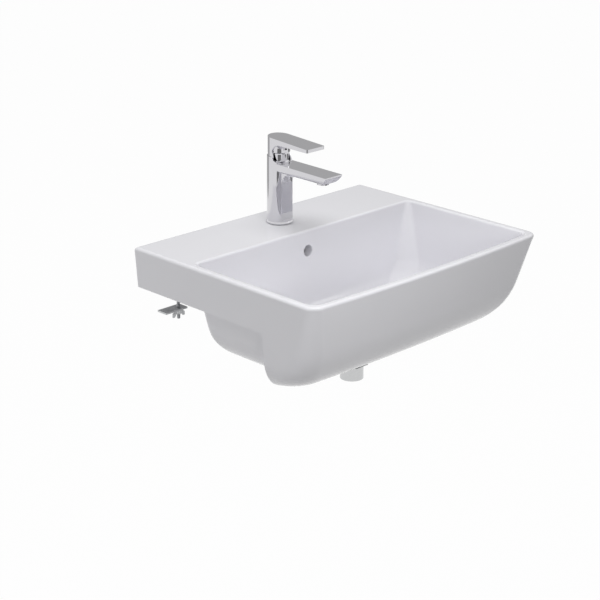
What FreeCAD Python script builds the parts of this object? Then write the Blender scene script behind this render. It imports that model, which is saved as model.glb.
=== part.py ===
"""Semi recessed wash basin with a lever tap, a push waste and its fixings, as a parametric document.

Millimetres. X runs to the basin's right, Y back to the wall and Z up. The origin lies in the middle of
the back face, level with the worktop: the aprons rest at Z = 0 and the back touches the wall at Y = 0.
"""
import FreeCAD, Part
import Sketcher
import math
import operator
import os
from types import SimpleNamespace

SIZES = {
    # outside of the basin
    "basin_width": 560.0,
    "basin_depth": 440.5,
    "rim_height": 72.7,
    "skirt_drop": 112.0,
    "counter_depth": 311.0,
    "bow_radius": 4200.0,
    "side_draft_angle": 4.4,
    "front_draft_angle": 13.4,
    "side_round": 66.0,
    "front_round": 128.0,
    "rim_corner": 22.0,
    "foot_corner": 57.0,
    "rim_edge_round": 6.0,
    # bowl
    "side_rim": 15.5,
    "front_rim": 16.0,
    "deck_depth": 138.0,
    "bowl_drop": 75.0,
    "bowl_side_draft_angle": 4.4,
    "bowl_rear_draft_angle": 4.0,
    "bowl_front_draft_angle": 13.4,
    "bowl_side_round": 48.0,
    "bowl_rear_round": 30.0,
    "bowl_front_round": 96.0,
    "bowl_rear_corner": 10.0,
    "bowl_rear_corner_low": 70.0,
    "bowl_front_corner": 14.0,
    "bowl_front_corner_low": 60.0,
    "bowl_edge_round": 4.0,
    "china_wall": 9.0,
    "deck_thickness": 14.0,
    "apron_wall": 13.0,
    "hidden_corner": 10.0,
    "back_trim": 2.0,
    # overflow and waste passages in the china
    "overflow_height": 35.0,
    "overflow_radius": 10.0,
    "overflow_edge_round": 2.0,
    "duct_width": 68.0,
    "duct_depth": 26.0,
    "duct_drop": 112.0,
    "channel_width": 44.0,
    "channel_height": 12.0,
    "channel_floor": 8.0,
    "waste_y": -250.0,
    "waste_hole_radius": 23.0,
    "waste_boss_radius": 41.0,
    "waste_boss_drop": 124.0,
    "waste_seat_radius": 34.0,
    "waste_seat_drop": 79.0,
    "dish_radius": 60.0,
    # tap hole and fixing bosses in the china
    "tap_set_back": 1.0,
    "tap_hole_radius": 17.5,
    "fixing_inset": 44.0,
    "fixing_y": -62.0,
    "fixing_boss_radius": 13.0,
    "fixing_boss_length": 32.0,
    "fixing_hole_radius": 5.2,
    "fixing_hole_depth": 22.0,
    # tap body
    "tap_gasket_thickness": 1.0,
    "foot_radius": 24.0,
    "foot_height": 4.0,
    "column_radius": 23.0,
    "column_top_radius": 22.5,
    "column_height": 121.9,
    "neck_rise": 11.1,
    "spout_fall": 2.0,
    "spout_reach": 132.5,
    "spout_root_half": 20.0,
    "spout_tip_half": 20.8,
    "spout_thickness": 16.5,
    "spout_tip_thickness": 14.5,
    "spout_side_round": 8.0,
    "spout_nose_undercut": 11.0,
    "spout_nose_edge": 2.0,
    "spout_root_round": 21.0,
    "facet_inset": 18.4,
    "facet_rise": 4.8,
    "facet_gap": 18.0,
    "facet_half": 13.6,
    "facet_corner": 6.0,
    "saddle_radius": 17.3,
    "saddle_y": -19.0,
    "socket_clearance": 0.4,
    "running_clearance": 0.1,
    "inlet_x": 6.6,
    "inlet_y": 4.2,
    "inlet_bore": 3.2,
    "inlet_thread_radius": 4.5,
    "inlet_thread_length": 12.0,
    "stud_y": -11.5,
    "stud_radius": 3.9,
    "stud_engagement": 13.0,
    "outlet_bore": 5.0,
    "outlet_rise": 7.0,
    "aerator_y": -107.0,
    "aerator_radius": 10.5,
    "aerator_depth": 7.0,
    "aerator_drop": 4.0,
    "aerator_wall": 1.4,
    "aerator_recess": 0.8,
    "aerator_gasket_thickness": 1.0,
    "aerator_hole_radius": 2.1,
    "aerator_hole_circle": 5.25,
    # lever
    "lever_radius": 21.2,
    "lever_tip_half": 21.7,
    "lever_reach": 89.0,
    "lever_back_rise": 34.8,
    "lever_tip_rise": 28.5,
    "lever_tip_thickness": 5.8,
    "lever_tip_corner": 2.5,
    "skirt_overlap": 2.5,
    "pivot_rise": 0.4,
    "cup_radius": 18.0,
    "hub_low_radius": 18.6,
    "hub_top_radius": 19.6,
    "hub_drop": 16.5,
    "hub_waist_radius": 40.0,
    "hub_overlap": 0.5,
    "spindle_width": 8.0,
    "spindle_rise": 29.0,
    "spindle_neck_rise": 6.6,
    "spindle_overlap": 0.6,
    "set_screw_radius": 2.5,
    "set_screw_length": 9.0,
    "set_screw_rise": 23.5,
    "index_cap_radius": 3.6,
    "index_cap_depth": 2.6,
    "index_cap_inset": 0.2,
    # cartridge
    "cartridge_radius": 12.5,
    "cartridge_depth": 15.5,
    "seal_thickness": 1.2,
    "seal_radius": 4.4,
    "housing_bottom": 3.0,
    "housing_wall": 1.6,
    "outlet_slot_rise": 0.8,
    "neck_radius": 10.2,
    "housing_rotor_step": 1.0,
    "rotor_radius": 8.0,
    "rotor_flange_radius": 9.8,
    "rotor_flange_height": 1.2,
    "rotor_rise": 3.4,
    "rotor_slot": 6.4,
    "rotor_wall": 1.1,
    "rotor_clearance": 0.3,
    "fixed_disc_thickness": 3.0,
    "fixed_disc_radius": 10.7,
    "fixed_disc_port": 2.4,
    "moving_disc_thickness": 2.5,
    "moving_disc_radius": 8.4,
    "moving_disc_pocket": 5.04,
    "moving_disc_pocket_depth": 1.0,
    "lift_angle": 20.0,
    "carrier_height": 6.0,
    "carrier_clearance": 0.2,
    "arm_radius": 2.8,
    "arm_waist_radius": 2.0,
    "ball_rise": 4.3,
    "pivot_pin_radius": 1.5,
    "pivot_pin_clearance": 0.05,
    "pivot_pin_inset": 0.5,
    "nut_radius": 15.1,
    "nut_depth": 6.3,
    "nut_collar_radius": 13.9,
    "nut_roof": 1.8,
    "cover_radius": 15.5,
    "cover_foot_radius": 17.8,
    "cover_foot_height": 2.7,
    "cover_foot_edge": 1.0,
    "cover_wall": 1.5,
    "cover_shoulder_rise": 15.0,
    "cover_dome": 9.0,
    "cover_rise": 21.5,
    "cover_mouth": 9.3,
    # tap fixing under the deck
    "tap_washer_radius": 24.0,
    "tap_washer_slot": 14.0,
    "tap_washer_thickness": 3.0,
    "tap_washer_web": 2.0,
    "tap_plate_thickness": 2.0,
    "tap_nut_radius": 7.5,
    "tap_nut_length": 12.0,
    "stud_length": 78.0,
    # waste
    "thread_radius": 20.9,
    "waste_bore": 17.5,
    "waste_collar_radius": 22.3,
    "waste_collar_height": 5.0,
    "tail_groove_radius": 20.2,
    "tail_groove_height": 1.5,
    "flange_radius": 32.0,
    "flange_height": 2.4,
    "flange_edge_height": 1.6,
    "flange_edge_width": 2.0,
    "flange_cone_radius": 25.0,
    "flange_cone_depth": 4.5,
    "flange_gasket_thickness": 0.8,
    "flange_gasket_inset": 1.0,
    "waste_length": 95.0,
    "overflow_slot_width": 14.0,
    "spider_height": 116.0,
    "spider_thickness": 5.0,
    "spider_width": 7.0,
    "spider_hub_radius": 7.5,
    "spider_overlap": 0.5,
    "latch_radius": 6.6,
    "latch_bore": 4.6,
    "latch_height": 26.0,
    "latch_floor": 2.0,
    "latch_stem_radius": 3.4,
    "plunger_radius": 4.5,
    "plug_travel": 8.5,
    "plug_seat_gap": 0.4,
    "plug_radius": 31.0,
    "plug_edge": 2.6,
    "plug_bevel": 1.0,
    "plug_crown": 1.8,
    "plug_seal_radius": 21.6,
    "plug_seal_wall": 3.0,
    "plug_seal_depth": 2.2,
    "spring_wire_radius": 0.4,
    "spring_radius": 3.5,
    "spring_turns": 5.0,
    "spring_length": 13.5,
    "under_gasket_radius": 31.0,
    "under_gasket_height": 9.0,
    "under_gasket_bevel": 3.0,
    "backnut_radius": 29.0,
    "backnut_height": 12.0,
    "waste_washer_thickness": 1.5,
    # fixings that clamp the basin to the worktop
    "worktop_thickness": 30.0,
    "anchor_length": 20.0,
    "fixing_bolt_radius": 3.0,
    "fixing_bolt_length": 98.0,
    "clamp_plate_length": 48.0,
    "clamp_plate_width": 22.0,
    "clamp_plate_thickness": 3.0,
    "clamp_plate_clearance": 0.2,
    "clamp_washer_radius": 9.0,
    "clamp_washer_thickness": 1.6,
    "wing_nut_radius": 6.0,
    "wing_nut_height": 7.0,
    "wing_span": 26.0,
    "wing_rise": 13.0,
    "wing_tip": 4.0,
    "wing_overlap": 1.0,
    "wing_thickness": 2.4,
}


class Size:
    """A length that knows its value now and the formula of sheet cells behind it."""

    def __init__(self, text, value):
        self.text = text
        self.value = value

    def __add__(self, other):
        return worked(self, "+", other)

    def __radd__(self, other):
        return worked(other, "+", self)

    def __sub__(self, other):
        return worked(self, "-", other)

    def __rsub__(self, other):
        return worked(other, "-", self)

    def __mul__(self, other):
        return worked(self, "*", other)

    def __rmul__(self, other):
        return worked(other, "*", self)

    def __truediv__(self, other):
        return worked(self, "/", other)

    def __neg__(self):
        return worked(0.0, "-", self)


SIGNS = {"+": operator.add, "-": operator.sub, "*": operator.mul, "/": operator.truediv}
RADIANS = math.pi / 180


def as_size(number):
    """The number as a Size, unchanged if it is one."""
    if isinstance(number, Size):
        return number
    return Size(f"({number:.9f})", float(number))


def worked(left, sign, right):
    """Two sizes joined by a sign, in value and in formula."""
    left, right = as_size(left), as_size(right)
    return Size(f"({left.text} {sign} {right.text})", SIGNS[sign](left.value, right.value))


def root(size):
    """The square root of a size, 0 where it is under 0."""
    return Size(f"sqrt(max(0; {size.text}))", math.sqrt(max(0.0, size.value)))


def tangent(angle):
    """The tangent of a size in degrees."""
    return Size(f"tan({angle.text})", math.tan(math.radians(angle.value)))


def sine(angle):
    """The sine of a size in degrees."""
    return Size(f"sin({angle.text})", math.sin(math.radians(angle.value)))


def cosine(angle):
    """The cosine of a size in degrees."""
    return Size(f"cos({angle.text})", math.cos(math.radians(angle.value)))


def larger(left, right):
    """The larger of two sizes."""
    left, right = as_size(left), as_size(right)
    return Size(f"max({left.text}; {right.text})", max(left.value, right.value))


def bind(thing, prop, size):
    """Ties one property of a document object to the cells that the size is worked out from."""
    thing.setExpression(prop, as_size(size).text)


doc = FreeCAD.newDocument("semi_recessed_basin")
sheet = doc.addObject("Spreadsheet::Sheet", "Sizes")
for row, (alias, number) in enumerate(SIZES.items(), start=1):
    sheet.set(f"A{row}", alias)
    sheet.set(f"B{row}", str(number))
    sheet.setAlias(f"B{row}", alias)
doc.recompute()
s = SimpleNamespace(**{alias: Size(f"Sizes.{alias}", number) for alias, number in SIZES.items()})


# ---------------------------------------------------------------- drawing helpers

PAST = 1.0  # how far a cut runs past the face that it opens
NEAR = 1.0  # how close an edge's middle lies to the place where it is looked for


def new_body(label):
    """An empty body whose label is its file's name."""
    body = doc.addObject("PartDesign::Body", label)
    body.Label = label
    return body


def sketch_on(body, role, offset=0.0):
    """A sketch on one of the body's own planes, moved along that plane's normal."""
    plane = next(item for item in body.Origin.OriginFeatures if item.Role == role)
    sketch = body.newObject("Sketcher::SketchObject", f"{body.Name}_sketch")
    sketch.AttachmentSupport = (plane, [""])
    sketch.MapMode = "FlatFace"
    bind(sketch, "AttachmentOffset.Base.z", offset)
    return sketch


def lock(sketch, kind, where, size):
    """Adds one dimension to a sketch, bound to its cells."""
    index = sketch.addConstraint(Sketcher.Constraint(kind, *where, as_size(size).value))
    bind(sketch, f"Constraints[{index}]", size)


def arc_between(start, end, radius):
    """The short arc from start to end. With a positive radius its centre lies left of the way along."""
    chord = end - start
    rise = math.sqrt(max(0.0, radius ** 2 - chord.Length ** 2 / 4))
    left = FreeCAD.Vector(-chord.y, chord.x, 0).normalize()
    centre = (start + end) * 0.5 + left * math.copysign(rise, radius)
    first, last = (start, end) if radius > 0 else (end, start)
    turn = [math.atan2(point.y - centre.y, point.x - centre.x) for point in (first, last)]
    circle = Part.Circle(centre, FreeCAD.Vector(0, 0, 1), abs(radius))
    return Part.ArcOfCircle(circle, turn[0], turn[1] if turn[1] > turn[0] else turn[1] + 2 * math.pi)


def draw(sketch, corners):
    """A closed outline. A corner is (x, y), or (x, y, radius) where an arc leaves it for the next."""
    corners = [tuple(as_size(part) for part in corner) for corner in corners]
    points = [FreeCAD.Vector(corner[0].value, corner[1].value, 0) for corner in corners]
    ends = []
    for index, corner in enumerate(corners):
        start, end = points[index], points[(index + 1) % len(points)]
        if len(corner) == 2:
            edge = sketch.addGeometry(Part.LineSegment(start, end))
            ends.append((edge, 1, 2))
            continue
        edge = sketch.addGeometry(arc_between(start, end, corner[2].value))
        ends.append((edge, 1, 2) if corner[2].value > 0 else (edge, 2, 1))
    for index, corner in enumerate(corners):
        edge, start, end = ends[index]
        following = ends[(index + 1) % len(ends)]
        sketch.addConstraint(Sketcher.Constraint("Coincident", edge, end, following[0], following[1]))
        lock(sketch, "DistanceX", (edge, start), corner[0])
        lock(sketch, "DistanceY", (edge, start), corner[1])
        if len(corner) == 3:
            lock(sketch, "Radius", (edge,), corner[2] if corner[2].value > 0 else -corner[2])
    return sketch


def draw_circle(sketch, x, y, radius):
    """A circle in a sketch."""
    centre = FreeCAD.Vector(as_size(x).value, as_size(y).value, 0)
    edge = sketch.addGeometry(Part.Circle(centre, FreeCAD.Vector(0, 0, 1), as_size(radius).value))
    lock(sketch, "DistanceX", (edge, 3), x)
    lock(sketch, "DistanceY", (edge, 3), y)
    lock(sketch, "Radius", (edge,), radius)
    return sketch


def rectangle(low_x, high_x, low_y, high_y):
    """The four corners of a rectangle."""
    return [(low_x, low_y), (high_x, low_y), (high_x, high_y), (low_x, high_y)]


def extrude(body, sketch, length, away=True, cut=False):
    """Pads a sketch, or cuts it out, along its plane's normal, or against it."""
    feature = body.newObject("PartDesign::Pocket" if cut else "PartDesign::Pad", f"{sketch.Name}_run")
    feature.Profile = sketch
    bind(feature, "Length", length)
    feature.Reversed = away if cut else not away
    return feature


def turn(body, sketch, cut=False):
    """Turns a half profile round the sketch's own vertical axis."""
    kind = "PartDesign::Groove" if cut else "PartDesign::Revolution"
    feature = body.newObject(kind, f"{sketch.Name}_turn")
    feature.Profile = sketch
    feature.ReferenceAxis = (sketch, ["V_Axis"])
    feature.Angle = 360
    return feature


def loft(body, sketches, cut=False):
    """One smooth surface through a stack of outlines."""
    kind = "PartDesign::SubtractiveLoft" if cut else "PartDesign::AdditiveLoft"
    feature = body.newObject(kind, f"{body.Name}_loft")
    feature.Profile = sketches[0]
    feature.Sections = [(sketch, [""]) for sketch in sketches[1:]]
    return feature


def round_edges(body, test, radius):
    """Rounds the edges of the body's newest shape that pass the test."""
    doc.recompute()
    base = body.Tip
    names = [f"Edge{number}" for number, edge in enumerate(base.Shape.Edges, start=1) if test(edge)]
    feature = body.newObject("PartDesign::Fillet", f"{body.Name}_round")
    feature.Base = (base, names)
    bind(feature, "Radius", radius)
    return feature


def turned(label, profile, x=0.0, y=0.0):
    """A body turned round an upright axis at x, y from a half profile of (radius, height) corners."""
    body = new_body(label)
    place(body, x, y)
    turn(body, draw(sketch_on(body, "XZ_Plane"), profile))
    return body


def place(body, x, y, z=0.0):
    """Puts a body's own origin at a point."""
    for axis, size in zip("xyz", (x, y, z)):
        bind(body, f"Placement.Base.{axis}", size)


def tube(outer, inner, low, high):
    """The half profile of a plain ring."""
    return [(inner, low), (outer, low), (outer, high), (inner, high)]


def rod(radius, low, high):
    """The half profile of a plain rod."""
    return tube(radius, 0.0, low, high)


def lies_at(edge, axis, place, slack=0.05):
    """Whether the whole edge lies in the plane where that axis has that value."""
    box = edge.BoundBox
    low, high = getattr(box, f"{axis}Min"), getattr(box, f"{axis}Max")
    return abs(low - place) < slack and abs(high - place) < slack


# ---------------------------------------------------------------- basin

half_width = s.basin_width / 2
deck_underside = s.rim_height - s.deck_thickness
fixing_x = half_width - s.fixing_inset
tap_y = s.tap_set_back - s.deck_depth / 2
bowl_back = s.china_wall - s.deck_depth
duct_back = bowl_back + s.duct_depth
duct_bottom = -s.duct_drop
channel_bottom = duct_bottom + s.channel_floor
channel_back = duct_back - s.channel_floor
STRAIGHT_STEPS = 4
ROUND_ANGLES = (22, 38, 52, 65, 77, 88)


def levels(top, bottom, draft_angle, rounding):
    """Heights of a loft's outlines: even steps down the straight wall, then turns round the rounding."""
    start = bottom + rounding - rounding * sine(draft_angle)
    heights = [top - (top - start) * step / STRAIGHT_STEPS for step in range(STRAIGHT_STEPS + 1)]
    for angle in ROUND_ANGLES:
        heights.append(bottom + rounding * (1 - math.sin(math.radians(angle))))
    return heights


def set_in(height, top, bottom, draft_angle, rounding):
    """How far a leaning wall, and then the arc tangent to it and to the bottom, has come in at a height."""
    centre = bottom + rounding
    start = centre - rounding * sine(draft_angle)
    leaning = (top - larger(height, start)) * tangent(draft_angle)
    past = larger(centre - height, rounding * sine(draft_angle))
    return leaning + rounding * cosine(draft_angle) - root(rounding * rounding - past * past)


def front_points(half, apex, corner, bow):
    """Where the front corner's arc leaves the straight side, and where it meets the bowed front."""
    bow_centre = bow - apex
    across = half - corner
    corner_y = bow_centre - root((bow - corner) * (bow - corner) - across * across)
    reach = bow / (bow - corner)
    return corner_y, across * reach, bow_centre + (corner_y - bow_centre) * reach


def open_back_outline(half, back, apex, corner, bow):
    """A basin outline with a straight back, straight sides, rounded front corners and a bowed front."""
    side_y, front_x, front_y = front_points(half, apex, corner, bow)
    return [
        (half, back),
        (-half, back),
        (-half, side_y, corner),
        (-front_x, front_y, bow),
        (front_x, front_y, corner),
        (half, side_y),
    ]


def closed_outline(half, back, apex, back_corner, corner, bow):
    """The same with rounded back corners."""
    side_y, front_x, front_y = front_points(half, apex, corner, bow)
    return [
        (half, back - back_corner, back_corner),
        (half - back_corner, back),
        (-half + back_corner, back, back_corner),
        (-half, back - back_corner),
        (-half, side_y, corner),
        (-front_x, front_y, bow),
        (front_x, front_y, corner),
        (half, side_y),
    ]


def hull_sketches(body):
    """Outlines of the outside, from the rim down to the bottom of the skirt."""
    top, bottom = s.rim_height, -s.skirt_drop
    sketches = []
    for height in levels(top, bottom, s.front_draft_angle, s.front_round):
        share = (top - height) / (top - bottom)
        half = half_width - set_in(height, top, bottom, s.side_draft_angle, s.side_round)
        apex = s.basin_depth - set_in(height, top, bottom, s.front_draft_angle, s.front_round)
        corner = s.rim_corner + (s.foot_corner - s.rim_corner) * share
        sketch = sketch_on(body, "XY_Plane", height)
        outline = open_back_outline(half, s.back_trim, apex, corner, s.bow_radius)
        sketches.append(draw(sketch, outline))
    return sketches


def bowl_sketches(body):
    """Outlines of the bowl, from just over the rim down to its floor."""
    top, bottom = s.rim_height, -s.bowl_drop
    sketches = []
    for height in levels(top, bottom, s.bowl_front_draft_angle, s.bowl_front_round):
        share = (top - height) / (top - bottom)
        side_in = set_in(height, top, bottom, s.bowl_side_draft_angle, s.bowl_side_round)
        rear_in = set_in(height, top, bottom, s.bowl_rear_draft_angle, s.bowl_rear_round)
        front_in = set_in(height, top, bottom, s.bowl_front_draft_angle, s.bowl_front_round)
        half = half_width - s.side_rim - side_in
        back = -s.deck_depth - rear_in
        apex = s.basin_depth - s.front_rim - front_in
        back_corner = s.bowl_rear_corner + (s.bowl_rear_corner_low - s.bowl_rear_corner) * share
        corner = s.bowl_front_corner + (s.bowl_front_corner_low - s.bowl_front_corner) * share
        sketch = sketch_on(body, "XY_Plane", height)
        outline = closed_outline(half, back, apex, back_corner, corner, s.bow_radius)
        sketches.append(draw(sketch, outline))
    return sketches


def tub_sketches(body):
    """Outlines of the tub that hangs in the worktop's cut-out, one wall outside the bowl."""
    top, bottom = s.rim_height, -s.bowl_drop - s.china_wall
    rear_round = s.bowl_rear_round + s.china_wall
    side_round = s.bowl_side_round + s.china_wall
    apex = s.counter_depth + s.hidden_corner * 2
    sketches = []
    for height in levels(as_size(0.0) + s.hidden_corner, bottom, s.bowl_side_draft_angle, side_round):
        share = (top - height) / (top - bottom)
        side_in = set_in(height, top, bottom, s.bowl_side_draft_angle, side_round)
        rear_in = set_in(height, top, bottom, s.bowl_rear_draft_angle, rear_round)
        half = half_width - s.side_rim + s.china_wall - side_in
        back = bowl_back - rear_in
        corner = s.china_wall + s.bowl_rear_corner
        corner = corner + (s.bowl_rear_corner_low - s.bowl_rear_corner) * share
        sketch = sketch_on(body, "XY_Plane", height)
        sketches.append(draw(sketch, [
            (half, back - corner, corner),
            (half - corner, back),
            (-half + corner, back, corner),
            (-half, back - corner),
            (-half, -apex),
            (half, -apex),
        ]))
    return sketches


def box_feature(body, role, offset, low, high, length, away=True, cut=False):
    """A rectangular pad or pocket, from a corner to the opposite one on a plane."""
    sketch = sketch_on(body, role, offset)
    draw(sketch, rectangle(low[0], high[0], low[1], high[1]))
    return extrude(body, sketch, length, away, cut)


def round_feature(body, x, y, radius, low, high, cut=False):
    """An upright round boss or hole between two heights."""
    sketch = sketch_on(body, "XY_Plane", low)
    draw_circle(sketch, x, y, radius)
    return extrude(body, sketch, high - low, cut=cut)


def make_basin():
    """The china: rim block on the worktop, skirt in front of it, tub in the cut-out, bowl and passages."""
    body = new_body("basin_body")
    loft(body, hull_sketches(body))
    make_room_behind(body)
    loft(body, tub_sketches(body))
    duct = s.duct_width / 2
    box_feature(body, "XY_Plane", duct_bottom, (-duct, s.waste_y), (duct, duct_back),
                s.duct_drop + deck_underside)
    boss_top = -s.bowl_drop - s.china_wall / 2
    round_feature(body, 0.0, s.waste_y, s.waste_boss_radius, -s.waste_boss_drop, boss_top)
    boss_low = deck_underside - s.fixing_boss_length
    for side in (-1, 1):
        x = side * fixing_x
        round_feature(body, x, s.fixing_y, s.fixing_boss_radius, boss_low, deck_underside)
        round_feature(body, x, s.fixing_y, s.fixing_hole_radius, boss_low,
                      boss_low + s.fixing_hole_depth, cut=True)
    loft(body, bowl_sketches(body), cut=True)
    cut_passages(body)
    round_feature(body, 0.0, tap_y, s.tap_hole_radius, deck_underside - PAST,
                  s.rim_height + PAST, cut=True)
    return finish_edges(body)


def make_room_behind(body):
    """Trims the back flat, and clears the worktop's place under the rim and the hollow behind the deck."""
    trim = s.back_trim + PAST
    side = s.basin_width
    box_feature(body, "XY_Plane", s.rim_height + PAST, (-side, 0.0), (side, trim),
                s.rim_height + s.skirt_drop + PAST * 2, away=False, cut=True)
    box_feature(body, "XY_Plane", 0.0, (-side, -s.counter_depth), (side, trim),
                s.skirt_drop + PAST, away=False, cut=True)
    inside = half_width - s.side_rim
    box_feature(body, "XY_Plane", -PAST, (-inside, bowl_back), (inside, -s.apron_wall),
                deck_underside + PAST, cut=True)


def cut_passages(body):
    """The overflow's hole and channel down to the waste, the waste's hole and its dish."""
    half = s.channel_width / 2
    overflow_top = s.overflow_height + s.overflow_radius
    box_feature(body, "XY_Plane", channel_bottom, (-half, channel_back - s.channel_height),
                (half, channel_back), overflow_top - channel_bottom, cut=True)
    box_feature(body, "XY_Plane", channel_bottom, (-half, s.waste_y), (half, channel_back),
                s.channel_height, cut=True)
    overflow = sketch_on(body, "XZ_Plane", PAST - channel_back)
    draw_circle(overflow, 0.0, s.overflow_height, s.overflow_radius)
    extrude(body, overflow, s.duct_depth + s.china_wall, cut=True)
    round_feature(body, 0.0, s.waste_y, s.waste_hole_radius, -s.waste_boss_drop - PAST,
                  PAST - s.bowl_drop, cut=True)
    dish = sketch_on(body, "XZ_Plane", -s.waste_y)
    draw(dish, [
        (0.0, PAST - s.bowl_drop),
        (0.0, -s.waste_seat_drop),
        (s.waste_seat_radius, -s.waste_seat_drop),
        (s.dish_radius, -s.bowl_drop),
        (s.dish_radius, PAST - s.bowl_drop),
    ])
    turn(body, dish, cut=True)


def finish_edges(body):
    """The glaze's soft edges: the rim's outside, the bowl's mouth and the overflow hole."""
    doc.recompute()
    top = s.rim_height.value
    limit = half_width.value - s.side_rim.value / 2
    deck = s.deck_depth.value / 2
    mouth = s.basin_depth.value - s.front_rim.value / 2

    def on_bowl_mouth(edge):
        box = edge.BoundBox
        inside = box.XMin > -limit and box.XMax < limit and box.YMax < -deck and box.YMin > -mouth
        return lies_at(edge, "Z", top) and inside and box.DiagonalLength > s.tap_hole_radius.value / 2

    def on_outline(edge):
        box = edge.BoundBox
        near_hole = abs(box.Center.y - tap_y.value) < NEAR and abs(box.Center.x) < NEAR
        return lies_at(edge, "Z", top) and not on_bowl_mouth(edge) and not near_hole

    def on_overflow(edge):
        box = edge.BoundBox
        central = abs(box.Center.x) < NEAR and abs(box.Center.z - s.overflow_height.value) < NEAR
        in_bowl = box.Center.y < bowl_back.value - s.china_wall.value / 2
        return central and in_bowl and box.XLength < s.overflow_radius.value * 3

    round_edges(body, on_outline, s.rim_edge_round)
    round_edges(body, on_bowl_mouth, s.bowl_edge_round)
    round_edges(body, on_overflow, s.overflow_edge_round)
    doc.recompute()
    return body


# ---------------------------------------------------------------- tap body

tap_base = s.rim_height + s.tap_gasket_thickness
parting_height = tap_base + s.column_height
spout_height = parting_height - s.neck_rise
spout_tip_height = spout_height - s.spout_fall
pivot_height = parting_height + s.pivot_rise
cartridge_floor = spout_height - s.cartridge_depth
nut_low = spout_height - s.nut_depth
saddle_height = spout_height + s.saddle_radius
saddle_rise = parting_height - saddle_height
saddle_back = s.saddle_y + root(s.saddle_radius * s.saddle_radius - saddle_rise * saddle_rise)
spout_low = spout_height - s.spout_thickness


def at_tap(body, y=0.0):
    """Puts a body drawn round the tap's own axis in its place on the deck."""
    place(body, 0.0, tap_y + y)
    return body


def cut_across(body, half, corners):
    """Cuts a side view outline of (y, height) corners right across the body."""
    side_view = sketch_on(body, "YZ_Plane", -half)
    draw(side_view, corners)
    return extrude(body, side_view, half * 2, cut=True)


def spout_outline(half, top, thickness):
    """A section of the spout: flat on top, upright sides and a rounded underside."""
    low, radius = top - thickness, s.spout_side_round
    return [
        (half, top),
        (-half, top),
        (-half, low + radius, radius),
        (-half + radius, low),
        (half - radius, low, radius),
        (half, low + radius),
    ]


def make_tap_body():
    """Column and spout in one casting, with the cartridge's bore, the lever's socket and the waterways."""
    body = at_tap(new_body("tap_body"))
    turn(body, draw(sketch_on(body, "XZ_Plane"), [
        (0.0, tap_base),
        (s.foot_radius, tap_base),
        (s.foot_radius, tap_base + s.foot_height / 2),
        (s.column_radius, tap_base + s.foot_height),
        (s.column_top_radius, parting_height),
        (0.0, parting_height),
    ]))
    spout_root = sketch_on(body, "XZ_Plane", 0.0)
    draw(spout_root, spout_outline(s.spout_root_half, spout_height, s.spout_thickness))
    spout_tip = sketch_on(body, "XZ_Plane", s.spout_reach)
    draw(spout_tip, spout_outline(s.spout_tip_half, spout_tip_height, s.spout_tip_thickness))
    loft(body, [spout_root, spout_tip])
    gusset_front = -(s.facet_inset + s.spout_root_round)
    gusset = sketch_on(body, "YZ_Plane", -s.facet_half)
    draw(gusset, [
        (gusset_front, spout_low, -s.spout_root_round),
        (-s.facet_inset, spout_low - s.spout_root_round),
        (0.0, spout_low - s.spout_root_round),
        (0.0, spout_low + PAST),
        (gusset_front, spout_low + PAST),
    ])
    extrude(body, gusset, s.facet_half * 2)
    facet_low, facet_high = tap_base + s.facet_rise, spout_low - s.facet_gap
    facet = sketch_on(body, "XZ_Plane", s.facet_inset)
    draw(facet, [
        (s.facet_half, facet_low),
        (s.facet_half, facet_high - s.facet_corner, s.facet_corner),
        (s.facet_half - s.facet_corner, facet_high),
        (-s.facet_half + s.facet_corner, facet_high, s.facet_corner),
        (-s.facet_half, facet_high - s.facet_corner),
        (-s.facet_half, facet_low),
    ])
    extrude(body, facet, s.column_radius, cut=True)
    cut_across(body, s.foot_radius, [
        (-s.foot_radius, spout_height),
        (s.saddle_y, spout_height, s.saddle_radius),
        (saddle_back, parting_height),
        (saddle_back, parting_height + PAST),
        (-s.foot_radius, parting_height + PAST),
    ])
    nose_y = -s.spout_reach
    cut_across(body, s.foot_radius, [
        (nose_y - PAST, spout_low - PAST),
        (nose_y + s.spout_nose_undercut, spout_low - PAST),
        (nose_y, spout_tip_height - s.spout_nose_edge),
        (nose_y - PAST, spout_tip_height - s.spout_nose_edge),
    ])
    hollow_tap_body(body)
    return body


socket_radius = s.lever_radius + s.socket_clearance
socket_depth = pivot_height - spout_height
floor_half = root(socket_radius * socket_radius - socket_depth * socket_depth)
nut_seat = nut_low - s.running_clearance


def hollow_tap_body(body):
    """Cuts the lever's socket, the cartridge's bore, the waterways and the threaded holes underneath."""
    c = s.running_clearance
    turn(body, draw(sketch_on(body, "XZ_Plane"), [
        (0.0, cartridge_floor),
        (s.cartridge_radius + c, cartridge_floor),
        (s.cartridge_radius + c, nut_seat),
        (s.nut_radius + c, nut_seat),
        (s.nut_radius + c, spout_height),
        (floor_half, spout_height, socket_radius),
        (socket_radius, pivot_height),
        (socket_radius, pivot_height + PAST),
        (0.0, pivot_height + PAST),
    ]), cut=True)
    start = s.cartridge_radius - PAST
    channel = sketch_on(body, "XZ_Plane", start)
    draw_circle(channel, 0.0, cartridge_floor + s.outlet_rise, s.outlet_bore)
    extrude(body, channel, -s.aerator_y - start, cut=True)
    round_feature(body, 0.0, s.aerator_y, s.aerator_radius, spout_low - PAST,
                  spout_low + s.aerator_depth, cut=True)
    below = tap_base - PAST
    for x, y in inlet_ports():
        round_feature(body, x, y, s.inlet_bore, tap_base, cartridge_floor + PAST, cut=True)
        round_feature(body, x, y, s.inlet_thread_radius, below, tap_base + s.inlet_thread_length, cut=True)
    round_feature(body, 0.0, s.stud_y, s.stud_radius + c, below, tap_base + s.stud_engagement, cut=True)


# ---------------------------------------------------------------- lever

lever_back_height = pivot_height + s.lever_back_rise
lever_tip_height = pivot_height + s.lever_tip_rise
spindle_top = pivot_height + s.spindle_rise
set_screw_height = pivot_height + s.set_screw_rise


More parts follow.
